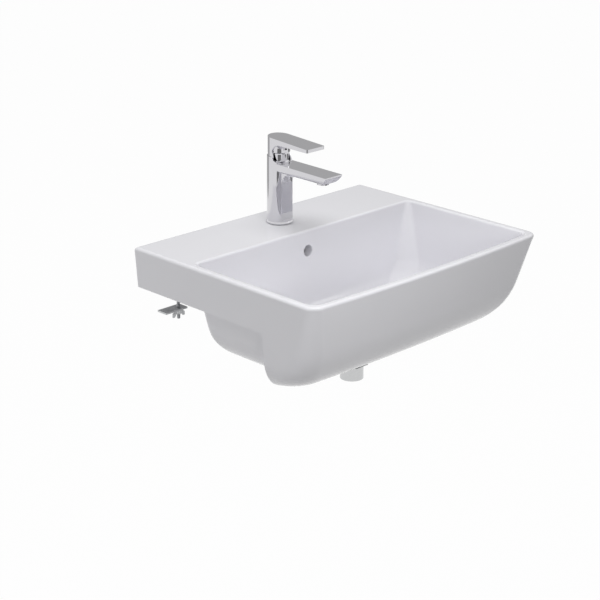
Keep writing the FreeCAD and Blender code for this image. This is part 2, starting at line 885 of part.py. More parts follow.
def make_lever():
    """The handle: a flat plate, a skirt that sits in the body's socket and a hub over the spindle."""
    body = at_tap(new_body("tap_lever"))
    low = pivot_height - s.skirt_overlap
    plan = sketch_on(body, "XY_Plane", low)
    tip, corner = s.lever_tip_half, s.lever_tip_corner
    draw(plan, [
        (-tip + corner, -s.lever_reach),
        (tip - corner, -s.lever_reach, corner),
        (tip, -s.lever_reach + corner),
        (s.lever_radius, 0.0, s.lever_radius),
        (0.0, s.lever_radius, s.lever_radius),
        (-s.lever_radius, 0.0),
        (-tip, -s.lever_reach + corner, corner),
    ])
    extrude(body, plan, lever_back_height - low + PAST)
    ahead = s.lever_reach + PAST
    behind = s.lever_radius + PAST
    cut_across(body, s.foot_radius, [
        (behind, lever_back_height),
        (behind, lever_back_height + PAST * 2),
        (-ahead, lever_back_height + PAST * 2),
        (-ahead, lever_tip_height),
    ])
    cut_across(body, s.foot_radius, [
        (0.0, low - PAST),
        (behind, low - PAST),
        (behind, pivot_height + behind * tangent(s.lift_angle)),
        (0.0, pivot_height),
    ])
    ball_top = s.lever_radius * sine(s.lift_angle) + s.socket_clearance
    turn(body, draw(sketch_on(body, "XZ_Plane"), [
        (0.0, low),
        (across_ball(s.skirt_overlap), low, s.lever_radius),
        (across_ball(ball_top), pivot_height + ball_top),
        (0.0, pivot_height + ball_top),
    ]))
    cut_across(body, s.foot_radius, [
        (-ahead, low - PAST),
        (saddle_back, low - PAST),
        (saddle_back, parting_height, s.saddle_radius),
        (s.saddle_y, saddle_height + s.saddle_radius),
        (-ahead, lever_tip_height - s.lever_tip_thickness),
    ])
    hub_top = saddle_height + s.saddle_radius + s.hub_overlap
    turn(body, draw(sketch_on(body, "XZ_Plane"), [
        (0.0, hub_top - s.hub_drop),
        (s.hub_low_radius, hub_top - s.hub_drop, -s.hub_waist_radius),
        (s.hub_top_radius, hub_top),
        (0.0, hub_top),
    ]))
    turn(body, draw(sketch_on(body, "XZ_Plane"), [
        (0.0, pivot_height - s.cup_radius, s.cup_radius),
        (s.cup_radius, pivot_height, s.cup_radius),
        (0.0, pivot_height + s.cup_radius),
    ]), cut=True)
    half = s.spindle_width / 2 + s.running_clearance
    square_low = pivot_height + s.cup_radius - PAST
    box_feature(body, "XY_Plane", square_low, (-half, -half), (half, half),
                spindle_top + s.running_clearance - square_low, cut=True)
    cut_to_back(body, half - PAST, s.set_screw_radius + s.running_clearance)
    cut_to_back(body, s.lever_radius - s.index_cap_depth, s.index_cap_radius + s.running_clearance)
    return body


def across_ball(away):
    """The radius of the skirt's ball in a level plane that far from its middle."""
    return root(s.lever_radius * s.lever_radius - away * away)


def cut_to_back(body, start, radius):
    """A level hole in the lever, from a distance behind the tap's axis out through the back."""
    hole = sketch_on(body, "XZ_Plane", -start)
    draw_circle(hole, 0.0, set_screw_height, radius)
    extrude(body, hole, s.lever_radius - start + PAST, away=False, cut=True)


def make_lever_fasteners():
    """The grub screw that grips the spindle, and the little cap over its hole at the back."""
    screw = at_tap(new_body("lever_set_screw"))
    start = s.spindle_width / 2
    outline = sketch_on(screw, "XZ_Plane", -start)
    draw_circle(outline, 0.0, set_screw_height, s.set_screw_radius)
    extrude(screw, outline, s.set_screw_length, away=False)
    key = sketch_on(screw, "XZ_Plane", -start - s.set_screw_length + s.set_screw_radius)
    draw(key, hexagon(s.set_screw_radius / 2, 0.0, set_screw_height))
    extrude(screw, key, s.set_screw_radius + PAST, away=False, cut=True)
    cap = at_tap(new_body("lever_index_cap"))
    outline = sketch_on(cap, "XZ_Plane", s.index_cap_depth - s.lever_radius)
    draw_circle(outline, 0.0, set_screw_height, s.index_cap_radius)
    extrude(cap, outline, s.index_cap_depth - s.index_cap_inset, away=False)
    return [screw, cap]


def hexagon(radius, x=0.0, y=0.0):
    """The corners of a hexagon round a point, with that radius to its corners."""
    corners = []
    for step in range(6):
        angle = math.radians(60 * step)
        corners.append((x + radius * math.cos(angle), y + radius * math.sin(angle)))
    return corners


# ---------------------------------------------------------------- cartridge

housing_low = cartridge_floor + s.seal_thickness
disc_low = housing_low + s.housing_bottom
moving_low = disc_low + s.fixed_disc_thickness
carrier_low = moving_low + s.moving_disc_thickness
rotor_low = carrier_low + s.carrier_height + s.rotor_clearance
housing_roof = rotor_low + s.rotor_flange_height + s.running_clearance
shoulder = housing_roof + s.housing_wall
ball_height = carrier_low + s.ball_rise
arm_length = pivot_height - ball_height
half_travel = arm_length * s.lift_angle * RADIANS / 2
rotor_top = pivot_height + s.rotor_rise
cover_shoulder = spout_height + s.cover_shoulder_rise
cover_top = spout_height + s.cover_rise


def make_cartridge():
    """Housing, rotor, pivot pin, spindle, disc carrier and the two ceramic discs, from the outside in."""
    return [make_housing(), make_rotor(), make_pivot_pin(), make_spindle()] + make_discs()


def make_housing():
    """The cartridge's shell, with two ways in and a slot at the front where the mixed water leaves."""
    c = s.running_clearance
    cavity = s.cartridge_radius - s.housing_wall
    neck_top = rotor_top - s.housing_rotor_step
    housing = at_tap(turned("cartridge_housing", [
        (0.0, housing_low),
        (s.cartridge_radius, housing_low),
        (s.cartridge_radius, shoulder),
        (s.neck_radius, shoulder),
        (s.neck_radius, neck_top),
        (s.rotor_radius + c, neck_top),
        (s.rotor_radius + c, housing_roof),
        (cavity, housing_roof),
        (cavity, disc_low),
        (0.0, disc_low),
    ]))
    for x, y in inlet_ports():
        round_feature(housing, x, y, s.inlet_bore, housing_low - PAST, disc_low + PAST, cut=True)
    box_feature(housing, "XY_Plane", housing_low + s.outlet_slot_rise,
                (-s.inlet_bore, -s.cartridge_radius - PAST), (s.inlet_bore, s.inlet_bore - s.inlet_x),
                s.housing_bottom, cut=True)
    return housing


def make_rotor():
    """The flanged ring that turns with the lever and leaves a slot for the spindle to rock in."""
    rotor = at_tap(turned("cartridge_rotor", [
        (0.0, rotor_low),
        (s.rotor_flange_radius, rotor_low),
        (s.rotor_flange_radius, rotor_low + s.rotor_flange_height),
        (s.rotor_radius, rotor_low + s.rotor_flange_height),
        (s.rotor_radius, rotor_top),
        (0.0, rotor_top),
    ]))
    slot = s.rotor_slot / 2
    end = s.rotor_radius - s.rotor_wall
    box_feature(rotor, "XY_Plane", rotor_low - PAST, (-slot, -end), (slot, end),
                rotor_top - rotor_low + PAST * 2, cut=True)
    cross_hole(rotor, s.pivot_pin_radius)
    return rotor


def make_pivot_pin():
    """The pin on which the spindle and the lever rock."""
    pin = at_tap(new_body("cartridge_pivot_pin"))
    side = sketch_on(pin, "YZ_Plane", s.pivot_pin_inset - s.rotor_radius)
    draw_circle(side, 0.0, pivot_height, s.pivot_pin_radius)
    extrude(pin, side, (s.rotor_radius - s.pivot_pin_inset) * 2)
    return pin


def make_spindle():
    """A ball on an arm below the pivot, and above it the square that the lever is fixed on."""
    ball_top = ball_height + s.arm_radius
    waist_top = pivot_height - s.arm_radius * 2
    neck_top = pivot_height + s.spindle_neck_rise
    spindle = at_tap(turned("cartridge_spindle", [
        (0.0, ball_height - s.arm_radius, s.arm_radius),
        (s.arm_radius, ball_height),
        (s.arm_waist_radius, ball_top),
        (s.arm_waist_radius, waist_top),
        (s.arm_radius, pivot_height - s.arm_radius),
        (s.arm_radius, neck_top),
        (0.0, neck_top),
    ]))
    half = s.spindle_width / 2
    square_low = neck_top - s.spindle_overlap
    box_feature(spindle, "XY_Plane", square_low, (-half, -half), (half, half), spindle_top - square_low)
    cross_hole(spindle, s.pivot_pin_radius + s.pivot_pin_clearance)
    return spindle


def make_discs():
    """The carrier that the spindle's ball pushes, the disc that it moves and the fixed disc below."""
    ball_room = s.arm_radius + s.carrier_clearance
    carrier = turned("cartridge_disc_carrier", rod(s.moving_disc_radius, carrier_low,
                                                   carrier_low + s.carrier_height))
    at_tap(carrier, half_travel)
    round_feature(carrier, 0.0, -half_travel, ball_room, ball_height - ball_room - s.carrier_clearance,
                  housing_roof + PAST, cut=True)
    pocket_top = moving_low + s.moving_disc_pocket_depth
    moving = at_tap(turned("cartridge_moving_disc", [
        (0.0, pocket_top),
        (s.moving_disc_pocket, pocket_top),
        (s.moving_disc_pocket, moving_low),
        (s.moving_disc_radius, moving_low),
        (s.moving_disc_radius, carrier_low),
        (0.0, carrier_low),
    ]), half_travel)
    fixed = at_tap(turned("cartridge_fixed_disc", rod(s.fixed_disc_radius, disc_low, moving_low)))
    for x, y in inlet_ports() + [(0.0, -s.inlet_x)]:
        round_feature(fixed, x, y, s.fixed_disc_port, disc_low - PAST, moving_low + PAST, cut=True)
    return [carrier, moving, fixed]


def inlet_ports():
    """The hot and the cold way in, as x and y from the tap's axis."""
    return [(-s.inlet_x, s.inlet_y), (s.inlet_x, s.inlet_y)]


def cross_hole(body, radius):
    """A hole along X through the pivot."""
    side = sketch_on(body, "YZ_Plane", -s.cartridge_radius)
    draw_circle(side, 0.0, pivot_height, radius)
    return extrude(body, side, s.cartridge_radius * 2, cut=True)


def gather(label, members):
    """Equal pieces as one node."""
    group = doc.addObject("Part::Compound", label)
    group.Label = label
    group.Links = members
    return group


def make_cartridge_fittings():
    """The seals under the cartridge, the nut that holds it down and the polished cover over the nut."""
    rings = []
    for number, (x, y) in enumerate(inlet_ports(), start=1):
        profile = tube(s.seal_radius, s.inlet_bore, cartridge_floor, housing_low)
        ring = turned(f"cartridge_seal_{number}", profile)
        place(ring, x, tap_y + y)
        rings.append(ring)
    c = s.running_clearance
    nut_top = shoulder + s.nut_roof
    nut = at_tap(turned("cartridge_nut", [
        (s.cartridge_radius + c, nut_low),
        (s.nut_radius, nut_low),
        (s.nut_radius, spout_height - c),
        (s.nut_collar_radius, spout_height - c),
        (s.nut_collar_radius, nut_top),
        (s.neck_radius + c, nut_top),
        (s.neck_radius + c, shoulder),
        (s.cartridge_radius + c, shoulder),
    ]))
    inner = s.nut_collar_radius + c
    foot_edge = spout_height + s.cover_foot_edge
    foot_hollow = s.cover_foot_height + s.cover_foot_edge
    cover = at_tap(turned("cartridge_cover", [
        (inner, spout_height),
        (s.cover_foot_radius, spout_height),
        (s.cover_foot_radius, foot_edge, -foot_hollow),
        (s.cover_radius, spout_height + s.cover_foot_height),
        (s.cover_radius, cover_shoulder, s.cover_dome),
        (s.cover_mouth, cover_top),
        (s.cover_mouth, cover_top - s.cover_wall, -(s.cover_dome - s.cover_wall)),
        (inner, cover_shoulder),
    ]))
    return [gather("cartridge_seals", rings), nut, cover]


# ---------------------------------------------------------------- aerator and tap fixing

AERATOR_HOLES = 6


def make_aerator():
    """The aerator under the spout's tip: threaded ring, insert with a rosette of holes and flat gasket."""
    c = s.running_clearance
    low, high = spout_low - s.aerator_drop, spout_low + s.aerator_depth
    outer = s.aerator_radius - c
    inner = outer - s.aerator_wall
    gasket_low = high - s.aerator_gasket_thickness
    ring = at_tap(turned("aerator_housing", tube(outer, inner, low, gasket_low)), s.aerator_y)
    insert = at_tap(new_body("aerator_insert"), s.aerator_y)
    insert_low = low + s.aerator_recess
    face = sketch_on(insert, "XY_Plane", insert_low)
    draw_circle(face, 0.0, 0.0, inner)
    draw_circle(face, 0.0, 0.0, s.aerator_hole_radius)
    for step in range(AERATOR_HOLES):
        angle = 2 * math.pi * step / AERATOR_HOLES
        x = s.aerator_hole_circle * math.cos(angle)
        y = s.aerator_hole_circle * math.sin(angle)
        draw_circle(face, x, y, s.aerator_hole_radius)
    extrude(insert, face, gasket_low - c * 2 - insert_low)
    bore = inner - s.aerator_wall
    gasket = at_tap(turned("aerator_gasket", tube(outer, bore, gasket_low, high)), s.aerator_y)
    return [ring, insert, gasket]


def horseshoe(label, low, thickness):
    """A round plate with a slot at the back for the supply pipes and a hole for the stud."""
    body = at_tap(new_body(label))
    radius, slot = s.tap_washer_radius, s.tap_washer_slot
    mouth = root(radius * radius - slot * slot)
    floor = s.stud_y + s.stud_radius + s.tap_washer_web
    outline = sketch_on(body, "XY_Plane", low)
    draw(outline, [
        (-slot, mouth, radius),
        (-radius, 0.0, radius),
        (0.0, -radius, radius),
        (radius, 0.0, radius),
        (slot, mouth),
        (slot, floor),
        (-slot, floor),
    ])
    draw_circle(outline, 0.0, s.stud_y, s.stud_radius + s.running_clearance)
    extrude(body, outline, thickness)
    return body


def make_tap_fixing():
    """Gasket under the tap's foot, stud, and the washer, plate and nut that pull it down from below."""
    gasket = at_tap(turned("tap_base_gasket",
                           tube(s.column_top_radius, s.tap_hole_radius, s.rim_height, tap_base)))
    washer_low = deck_underside - s.tap_washer_thickness
    plate_low = washer_low - s.tap_plate_thickness
    washer = horseshoe("tap_rubber_washer", washer_low, s.tap_washer_thickness)
    plate = horseshoe("tap_horseshoe_plate", plate_low, s.tap_plate_thickness)
    stud_top = tap_base + s.stud_engagement
    stud = at_tap(turned("tap_stud", rod(s.stud_radius, stud_top - s.stud_length, stud_top)), s.stud_y)
    nut = at_tap(new_body("tap_fixing_nut"), s.stud_y)
    outline = sketch_on(nut, "XY_Plane", plate_low - s.tap_nut_length)
    draw(outline, hexagon(s.tap_nut_radius))
    draw_circle(outline, 0.0, 0.0, s.stud_radius + s.running_clearance)
    extrude(nut, outline, s.tap_nut_length)
    return [gasket, washer, plate, stud, nut]


# ---------------------------------------------------------------- waste

flange_low = s.flange_gasket_thickness - s.waste_seat_drop
flange_top = flange_low + s.flange_height
spider_top = s.spider_thickness / 2 - s.spider_height
bore_floor = spider_top + s.latch_floor
cap_low = flange_top + s.plug_travel + s.plug_seat_gap
boss_foot = -s.waste_boss_drop
under_cone = boss_foot - s.under_gasket_height
backnut_low = under_cone - s.waste_washer_thickness - s.backnut_height
tail_top = backnut_low - s.tail_groove_height


def at_waste(body):
    """Puts a body drawn round the waste's own axis in its place in the bowl."""
    place(body, 0.0, s.waste_y)
    return body


def make_waste():
    """The waste's flanged tube, with slots for the overflow and a spider that carries the latch."""
    c = s.running_clearance
    body = at_waste(turned("waste_body", [
        (s.waste_bore, flange_low - s.waste_length),
        (s.thread_radius, flange_low - s.waste_length),
        (s.thread_radius, tail_top),
        (s.tail_groove_radius, tail_top),
        (s.tail_groove_radius, tail_top + s.tail_groove_height),
        (s.thread_radius, tail_top + s.tail_groove_height),
        (s.thread_radius, flange_low - s.waste_collar_height),
        (s.waste_collar_radius, flange_low - s.waste_collar_height),
        (s.waste_collar_radius, flange_low),
        (s.flange_radius, flange_low),
        (s.flange_radius, flange_low + s.flange_edge_height),
        (s.flange_radius - s.flange_edge_width, flange_top),
        (s.flange_cone_radius, flange_top),
        (s.waste_bore, flange_top - s.flange_cone_depth),
    ]))
    slot = s.overflow_slot_width / 2
    past = s.waste_hole_radius
    for half_x, half_y in ((past, slot), (slot, past)):
        box_feature(body, "XY_Plane", channel_bottom, (-half_x, -half_y), (half_x, half_y),
                    s.channel_height, cut=True)
    arm = s.waste_bore + s.spider_overlap
    spider_low = spider_top - s.spider_thickness
    box_feature(body, "XY_Plane", spider_low, (-arm, -s.spider_width / 2), (arm, s.spider_width / 2),
                s.spider_thickness)
    round_feature(body, 0.0, 0.0, s.spider_hub_radius, spider_low, spider_top)
    round_feature(body, 0.0, 0.0, s.latch_stem_radius + c, spider_low - PAST, spider_top + PAST, cut=True)
    return [body] + make_waste_fittings()


def make_waste_fittings():
    """What seals and holds the waste: gasket under the flange, and tapered gasket, washer and nut below."""
    inner = s.thread_radius + s.running_clearance
    outer = s.under_gasket_radius
    bevel = s.under_gasket_bevel
    rim = s.flange_radius - s.flange_gasket_inset
    profile = tube(rim, s.waste_hole_radius, -s.waste_seat_drop, flange_low)
    gasket = at_waste(turned("waste_flange_gasket", profile))
    cone = at_waste(turned("waste_under_gasket", [
        (inner, under_cone),
        (outer, under_cone),
        (outer, boss_foot - bevel),
        (outer - bevel, boss_foot),
        (inner, boss_foot),
    ]))
    washer_low = under_cone - s.waste_washer_thickness
    washer = at_waste(turned("waste_washer", tube(outer, inner, washer_low, under_cone)))
    nut = at_waste(new_body("waste_backnut"))
    outline = sketch_on(nut, "XY_Plane", backnut_low)
    draw(outline, hexagon(s.backnut_radius))
    draw_circle(outline, 0.0, 0.0, inner)
    extrude(nut, outline, s.backnut_height)
    return [gasket, cone, washer, nut]


def make_plug():
    """The push plug: crowned cap, seal, plunger, latch housing and the spring between them."""
    crown = (s.plug_radius * s.plug_radius + s.plug_crown * s.plug_crown) / (s.plug_crown * 2)
    cap = at_waste(turned("plug_cap", [
        (0.0, cap_low),
        (s.plug_radius - s.plug_bevel, cap_low),
        (s.plug_radius, cap_low + s.plug_bevel),
        (s.plug_radius, cap_low + s.plug_edge, crown),
        (0.0, cap_low + s.plug_edge + s.plug_crown),
    ]))
    seal_bore = s.plug_seal_radius - s.plug_seal_wall
    seal = at_waste(turned("plug_seal", tube(s.plug_seal_radius, seal_bore,
                                             cap_low - s.plug_seal_depth, cap_low)))
    plunger_low = bore_floor + s.spring_length
    plunger = at_waste(turned("plug_plunger", rod(s.plunger_radius, plunger_low, cap_low)))
    latch = at_waste(turned("plug_latch_housing", [
        (0.0, spider_top - s.spider_thickness),
        (s.latch_stem_radius, spider_top - s.spider_thickness),
        (s.latch_stem_radius, spider_top),
        (s.latch_radius, spider_top),
        (s.latch_radius, spider_top + s.latch_height),
        (s.latch_bore, spider_top + s.latch_height),
        (s.latch_bore, bore_floor),
        (0.0, bore_floor),
    ]))
    spring = at_waste(new_body("plug_spring"))
    wire = sketch_on(spring, "XZ_Plane")
    draw_circle(wire, s.spring_radius, bore_floor + s.spring_wire_radius, s.spring_wire_radius)
    coil = spring.newObject("PartDesign::AdditiveHelix", "coil")
    coil.Profile = wire
    coil.ReferenceAxis = (wire, ["V_Axis"])
    coil.Mode = "height-turns-growth"
    bind(coil, "Height", s.spring_length - s.spring_wire_radius * 2)
    bind(coil, "Turns", s.spring_turns)
    return [cap, seal, plunger, latch, spring]


# ---------------------------------------------------------------- fixings to the worktop

def pair(label, body):
    """A piece on the right and its mirror image on the left, as one node."""
    twin = doc.addObject("Part::Mirroring", f"{label}_left")
    twin.Source = body
    twin.Normal = FreeCAD.Vector(1, 0, 0)
    twin.Base = FreeCAD.Vector(0, 0, 0)
    return gather(label, [body, twin])


def at_fixing(body):
    """Puts a body drawn round a fixing's own axis in its place on the right."""
    place(body, fixing_x, s.fixing_y)
    return body


def make_fixings():
    """Two sets that clamp the basin to the worktop: anchor, threaded rod, plate, washer and wing nut."""
    c = s.running_clearance
    boss_low = deck_underside - s.fixing_boss_length
    bore = s.fixing_bolt_radius + c
    bolt_top = boss_low + s.anchor_length
    bolt_low = bolt_top - s.fixing_bolt_length
    anchor = at_fixing(turned("anchor_right", tube(s.fixing_hole_radius - c, bore, boss_low, bolt_top)))
    bolt = at_fixing(turned("bolt_right", rod(s.fixing_bolt_radius, bolt_low, bolt_top)))
    plate_top = -s.worktop_thickness
    plate_low = plate_top - s.clamp_plate_thickness
    plate = at_fixing(new_body("plate_right"))
    half = s.clamp_plate_width / 2
    outline = sketch_on(plate, "XY_Plane", plate_low)
    draw(outline, rectangle(-half, s.clamp_plate_length - half, -half, half))
    draw_circle(outline, 0.0, 0.0, bore + s.clamp_plate_clearance)
    extrude(plate, outline, s.clamp_plate_thickness)
    washer_low = plate_low - s.clamp_washer_thickness
    washer = at_fixing(turned("washer_right", tube(s.clamp_washer_radius, bore, washer_low, plate_low)))
    nut_low = washer_low - s.wing_nut_height
    nut = at_fixing(turned("wing_nut_right", tube(s.wing_nut_radius, bore, nut_low, washer_low)))
    for side in (-1, 1):
        wing = sketch_on(nut, "XZ_Plane", -s.wing_thickness / 2)
        inner = side * (s.wing_nut_radius - s.wing_overlap)
        outer = side * s.wing_span / 2
        tip_low = washer_low - s.wing_rise
        draw(wing, [
            (inner, washer_low - s.wing_overlap),
            (outer, washer_low - s.wing_rise / 2),
            (outer, tip_low),
            (outer - side * s.wing_tip, tip_low),
            (inner, nut_low),
        ])
        extrude(nut, wing, s.wing_thickness)
    return [
        pair("fixing_anchors", anchor),
        pair("fixing_bolts", bolt),
        pair("clamp_plates", plate),
        pair("clamp_washers", washer),
        pair("clamp_wing_nuts", nut),
    ]


parts = [make_basin(), make_tap_body(), make_lever()]
parts += make_lever_fasteners()
parts += make_cartridge()
parts += make_cartridge_fittings()
parts += make_aerator()
parts += make_tap_fixing()
parts += make_waste()
parts += make_plug()
parts += make_fixings()

doc.recompute()
for item in doc.Objects:
    if "Invalid" in item.State or "Error" in item.State:
        raise RuntimeError(f"{item.Label} failed: {item.State}")
os.makedirs("parts", exist_ok=True)
for part in parts:
    if part.Shape.isNull() or not part.Shape.isValid():
        raise RuntimeError(f"{part.Label} has no valid shape")
    part.Shape.exportStep(f"parts/{part.Label}.step")
    print(part.Label, round(part.Shape.Volume / 1000, 2), "cm3", len(part.Shape.Solids), "solids")
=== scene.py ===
"""Semi recessed basin with its tap and waste, dressed for a studio picture. In metres, in the CAD frame."""
import math

import bpy
import numpy as np
from mathutils import Euler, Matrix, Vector


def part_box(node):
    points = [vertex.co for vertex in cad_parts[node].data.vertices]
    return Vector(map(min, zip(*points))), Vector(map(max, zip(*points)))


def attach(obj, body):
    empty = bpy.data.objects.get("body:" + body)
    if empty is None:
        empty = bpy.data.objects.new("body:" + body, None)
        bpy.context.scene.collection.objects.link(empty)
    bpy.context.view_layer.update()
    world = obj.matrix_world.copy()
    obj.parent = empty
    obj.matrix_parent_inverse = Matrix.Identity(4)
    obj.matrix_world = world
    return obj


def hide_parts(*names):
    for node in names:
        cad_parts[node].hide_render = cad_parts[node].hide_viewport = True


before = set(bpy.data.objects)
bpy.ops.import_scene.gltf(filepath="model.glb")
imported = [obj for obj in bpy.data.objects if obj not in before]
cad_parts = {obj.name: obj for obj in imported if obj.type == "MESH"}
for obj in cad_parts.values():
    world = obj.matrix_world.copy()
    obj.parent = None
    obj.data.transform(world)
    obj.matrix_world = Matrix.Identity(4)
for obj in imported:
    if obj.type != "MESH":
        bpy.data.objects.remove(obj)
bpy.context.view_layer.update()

# ---------------------------------------------------------------- camera
# One long lens on a tripod, to the left of the basin and a metre above it, looking down at its middle.

CAMERA_PLACE = (-1.9799, -2.1125, 0.9628)
CAMERA_TURN, CAMERA_DIP, CAMERA_ROLL = math.radians(44.82), math.radians(20.06), math.radians(0.25)
PICTURE_WIDTH, FOCAL_PIXELS = 600, 1669.1
SENSOR_WIDTH = 36.0


def place_object(name, data):
    """A new object at the origin of the scene, for a mesh, a lamp or a lens."""
    thing = bpy.data.objects.new(name, data)
    bpy.context.scene.collection.objects.link(thing)
    return thing


view_camera = place_object("camera", bpy.data.cameras.new("camera"))
view_camera.location = CAMERA_PLACE
aim = Euler((math.pi / 2 - CAMERA_DIP, 0.0, -CAMERA_TURN), "XYZ").to_matrix()
roll = Euler((0.0, 0.0, CAMERA_ROLL), "XYZ").to_matrix()
view_camera.rotation_euler = (aim @ roll).to_euler()
view_camera.data.sensor_width = SENSOR_WIDTH
view_camera.data.lens = SENSOR_WIDTH * FOCAL_PIXELS / PICTURE_WIDTH
view_camera.data.clip_end = 200.0
bpy.context.scene.camera = view_camera
bpy.context.scene.view_settings.view_transform = "Standard"

# ---------------------------------------------------------------- floor and light
# A pale floor at standing height below the basin and a soft white room. The lens sees plain white, and the
# metal sees it with grey cards. Three soft boxes give the light: overhead, low on the left, and in front.

FLOOR_HEIGHT, FLOOR_WIDTH = -0.78, 60.0
FLOOR_TONE, FLOOR_WHITE, FLOOR_WHITE_SHARE = 0.45, 1.01, 0.97
ROOM_LIGHT, ROOM_WHITE = 0.192, 1.0


def grid_mesh(name, points, closed=False):
    """A mesh of quads over an array of points (rows, columns, 3); where it is closed, each row's last point
    joins its first."""
    rows, columns = points.shape[:2]
    row = np.arange(rows - 1)[:, None]
    column = np.arange(columns if closed else columns - 1)[None, :]
    after = (column + 1) % columns
    first, right = row * columns + column, row * columns + after
    up, across = (row + 1) * columns + column, (row + 1) * columns + after
    faces = np.stack([first, right, across, up], axis=-1).reshape(-1, 4)
    mesh = bpy.data.meshes.new(name)
    mesh.from_pydata(points.reshape(-1, 3).tolist(), [], faces.tolist())
    mesh.update()
    return mesh


def add_object(name, mesh, material):
    """A mesh in the scene as an object at the origin, with smooth faces and one material."""
    thing = place_object(name, mesh)
    mesh.materials.append(material)
    mesh.shade_smooth()
    return thing


def sheet_points(corner, along, across):
    """The four points of a flat card: a corner, and the two sides that leave it."""
    corner, along, across = (np.array(part, float) for part in (corner, along, across))
    return np.array([[corner, corner + along], [corner + across, corner + along + across]])


def new_material(name):
    """An empty node material, with its node tree and its output node."""
    material = bpy.data.materials.new(name)
    material.use_nodes = True
    tree = material.node_tree
    tree.nodes.clear()
    output = tree.nodes.new("ShaderNodeOutputMaterial")
    return material, tree, output


def seen_directly(tree):
    """A value of 1 on rays from the lens, from gloss and through glass, and 0 on those that carry light."""
    path = tree.nodes.new("ShaderNodeLightPath")
    gloss = tree.nodes.new("ShaderNodeMath")
    gloss.operation = "MAXIMUM"
    tree.links.new(path.outputs["Is Camera Ray"], gloss.inputs[0])
    tree.links.new(path.outputs["Is Glossy Ray"], gloss.inputs[1])
    either = tree.nodes.new("ShaderNodeMath")
    either.operation = "MAXIMUM"
    tree.links.new(gloss.outputs[0], either.inputs[0])
    tree.links.new(path.outputs["Is Transmission Ray"], either.inputs[1])
    return either.outputs[0]


def floor_paint():
    """Matt white paint that the lens sees nearly as white as the room, with a trace of shadow."""
    material, tree, output = new_material("floor_paint")
    matt = tree.nodes.new("ShaderNodeBsdfDiffuse")
    matt.inputs["Color"].default_value = (FLOOR_TONE, FLOOR_TONE, FLOOR_TONE, 1.0)
    white = tree.nodes.new("ShaderNodeEmission")
    white.inputs["Color"].default_value = (1.0, 1.0, 1.0, 1.0)
    white.inputs["Strength"].default_value = FLOOR_WHITE
    share = tree.nodes.new("ShaderNodeMath")
    share.operation = "MULTIPLY"
    share.inputs[1].default_value = FLOOR_WHITE_SHARE
    tree.links.new(seen_directly(tree), share.inputs[0])
    mix = tree.nodes.new("ShaderNodeMixShader")
    tree.links.new(share.outputs[0], mix.inputs[0])
    tree.links.new(matt.outputs[0], mix.inputs[1])
    tree.links.new(white.outputs[0], mix.inputs[2])
    tree.links.new(mix.outputs[0], output.inputs["Surface"])
    return material


floor_corner = (-FLOOR_WIDTH / 2, -FLOOR_WIDTH / 2, FLOOR_HEIGHT)
floor_points = sheet_points(floor_corner, (FLOOR_WIDTH, 0.0, 0.0), (0.0, FLOOR_WIDTH, 0.0))
floor = add_object("floor", grid_mesh("floor", floor_points), floor_paint())


def white_room():
    """The room round the object: white where it is seen, and a softer white where it gives light."""
    world = bpy.data.worlds.new("white_room")
    world.use_nodes = True
    tree = world.node_tree
    tree.nodes.clear()
    output = tree.nodes.new("ShaderNodeOutputWorld")
    mix = tree.nodes.new("ShaderNodeMixShader")
    tree.links.new(seen_directly(tree), mix.inputs[0])
    for socket, strength in ((1, ROOM_LIGHT), (2, ROOM_WHITE)):
        white = tree.nodes.new("ShaderNodeBackground")
        white.inputs["Color"].default_value = (1.0, 1.0, 1.0, 1.0)
        white.inputs["Strength"].default_value = strength
        tree.links.new(white.outputs[0], mix.inputs[socket])
    tree.links.new(mix.outputs[0], output.inputs["Surface"])
    return world


bpy.context.scene.world = white_room()


def soft_box(name, place, target, size, power):
    """A square area lamp that hangs at a place and faces a target. Neither the lens nor gloss shows it."""
    lamp = bpy.data.lights.new(name, "AREA")
    lamp.shape = "SQUARE"
    lamp.size = size
    lamp.energy = power
    thing = place_object(name, lamp)
    thing.location = place
    thing.rotation_euler = (Vector(target) - Vector(place)).to_track_quat("-Z", "Y").to_euler()
    thing.visible_camera = thing.visible_glossy = False


soft_box("overhead", (-0.1, 0.1, 2.6), (0.0, -0.2, 0.0), 2.2, 49.5)
soft_box("low_left", (-1.7, 0.2, -0.05), (-0.28, -0.15, 0.0), 1.0, 6.7)
soft_box("front", (-0.4, -1.2, 0.5), (-0.1, -0.4, 0.0), 0.5, 4.7)


def grey_card(name, azimuth, distance, width, low, high, tone):
    """An upright card that only polished metal and glaze see. It stands square to the line from the origin to
    its middle, at a distance along an azimuth that is counted in degrees from +X towards +Y."""
    turn = math.radians(azimuth)
    middle = distance * np.array([math.cos(turn), math.sin(turn), 0.0])
    side = width * np.array([-math.sin(turn), math.cos(turn), 0.0])
    corner = middle - side / 2 + (0.0, 0.0, low)
    material, tree, output = new_material(name)
    paint = tree.nodes.new("ShaderNodeEmission")
    paint.inputs["Color"].default_value = (tone, tone, tone, 1.0)
    tree.links.new(paint.outputs[0], output.inputs["Surface"])
    points = sheet_points(corner, side, (0.0, 0.0, high - low))
    card = add_object(name, grid_mesh(name, points), material)
    card.visible_camera = card.visible_diffuse = card.visible_shadow = False


grey_card("card_bright", -40.0, 2.4, 0.8, 1.05, 1.75, 3.0)
grey_card("card_back", 44.5, 3.0, 3.2, FLOOR_HEIGHT, 2.25, 0.50)
grey_card("card_back_left", 92.0, 3.0, 2.2, FLOOR_HEIGHT, -0.25, 0.50)
grey_card("card_right", -10.0, 3.0, 2.4, FLOOR_HEIGHT, -0.10, 0.25)
grey_card("card_front_left", 222.0, 2.4, 1.9, FLOOR_HEIGHT, 0.60, 0.20)
grey_card("card_front", 288.0, 2.6, 2.3, FLOOR_HEIGHT, -0.35, 0.03)

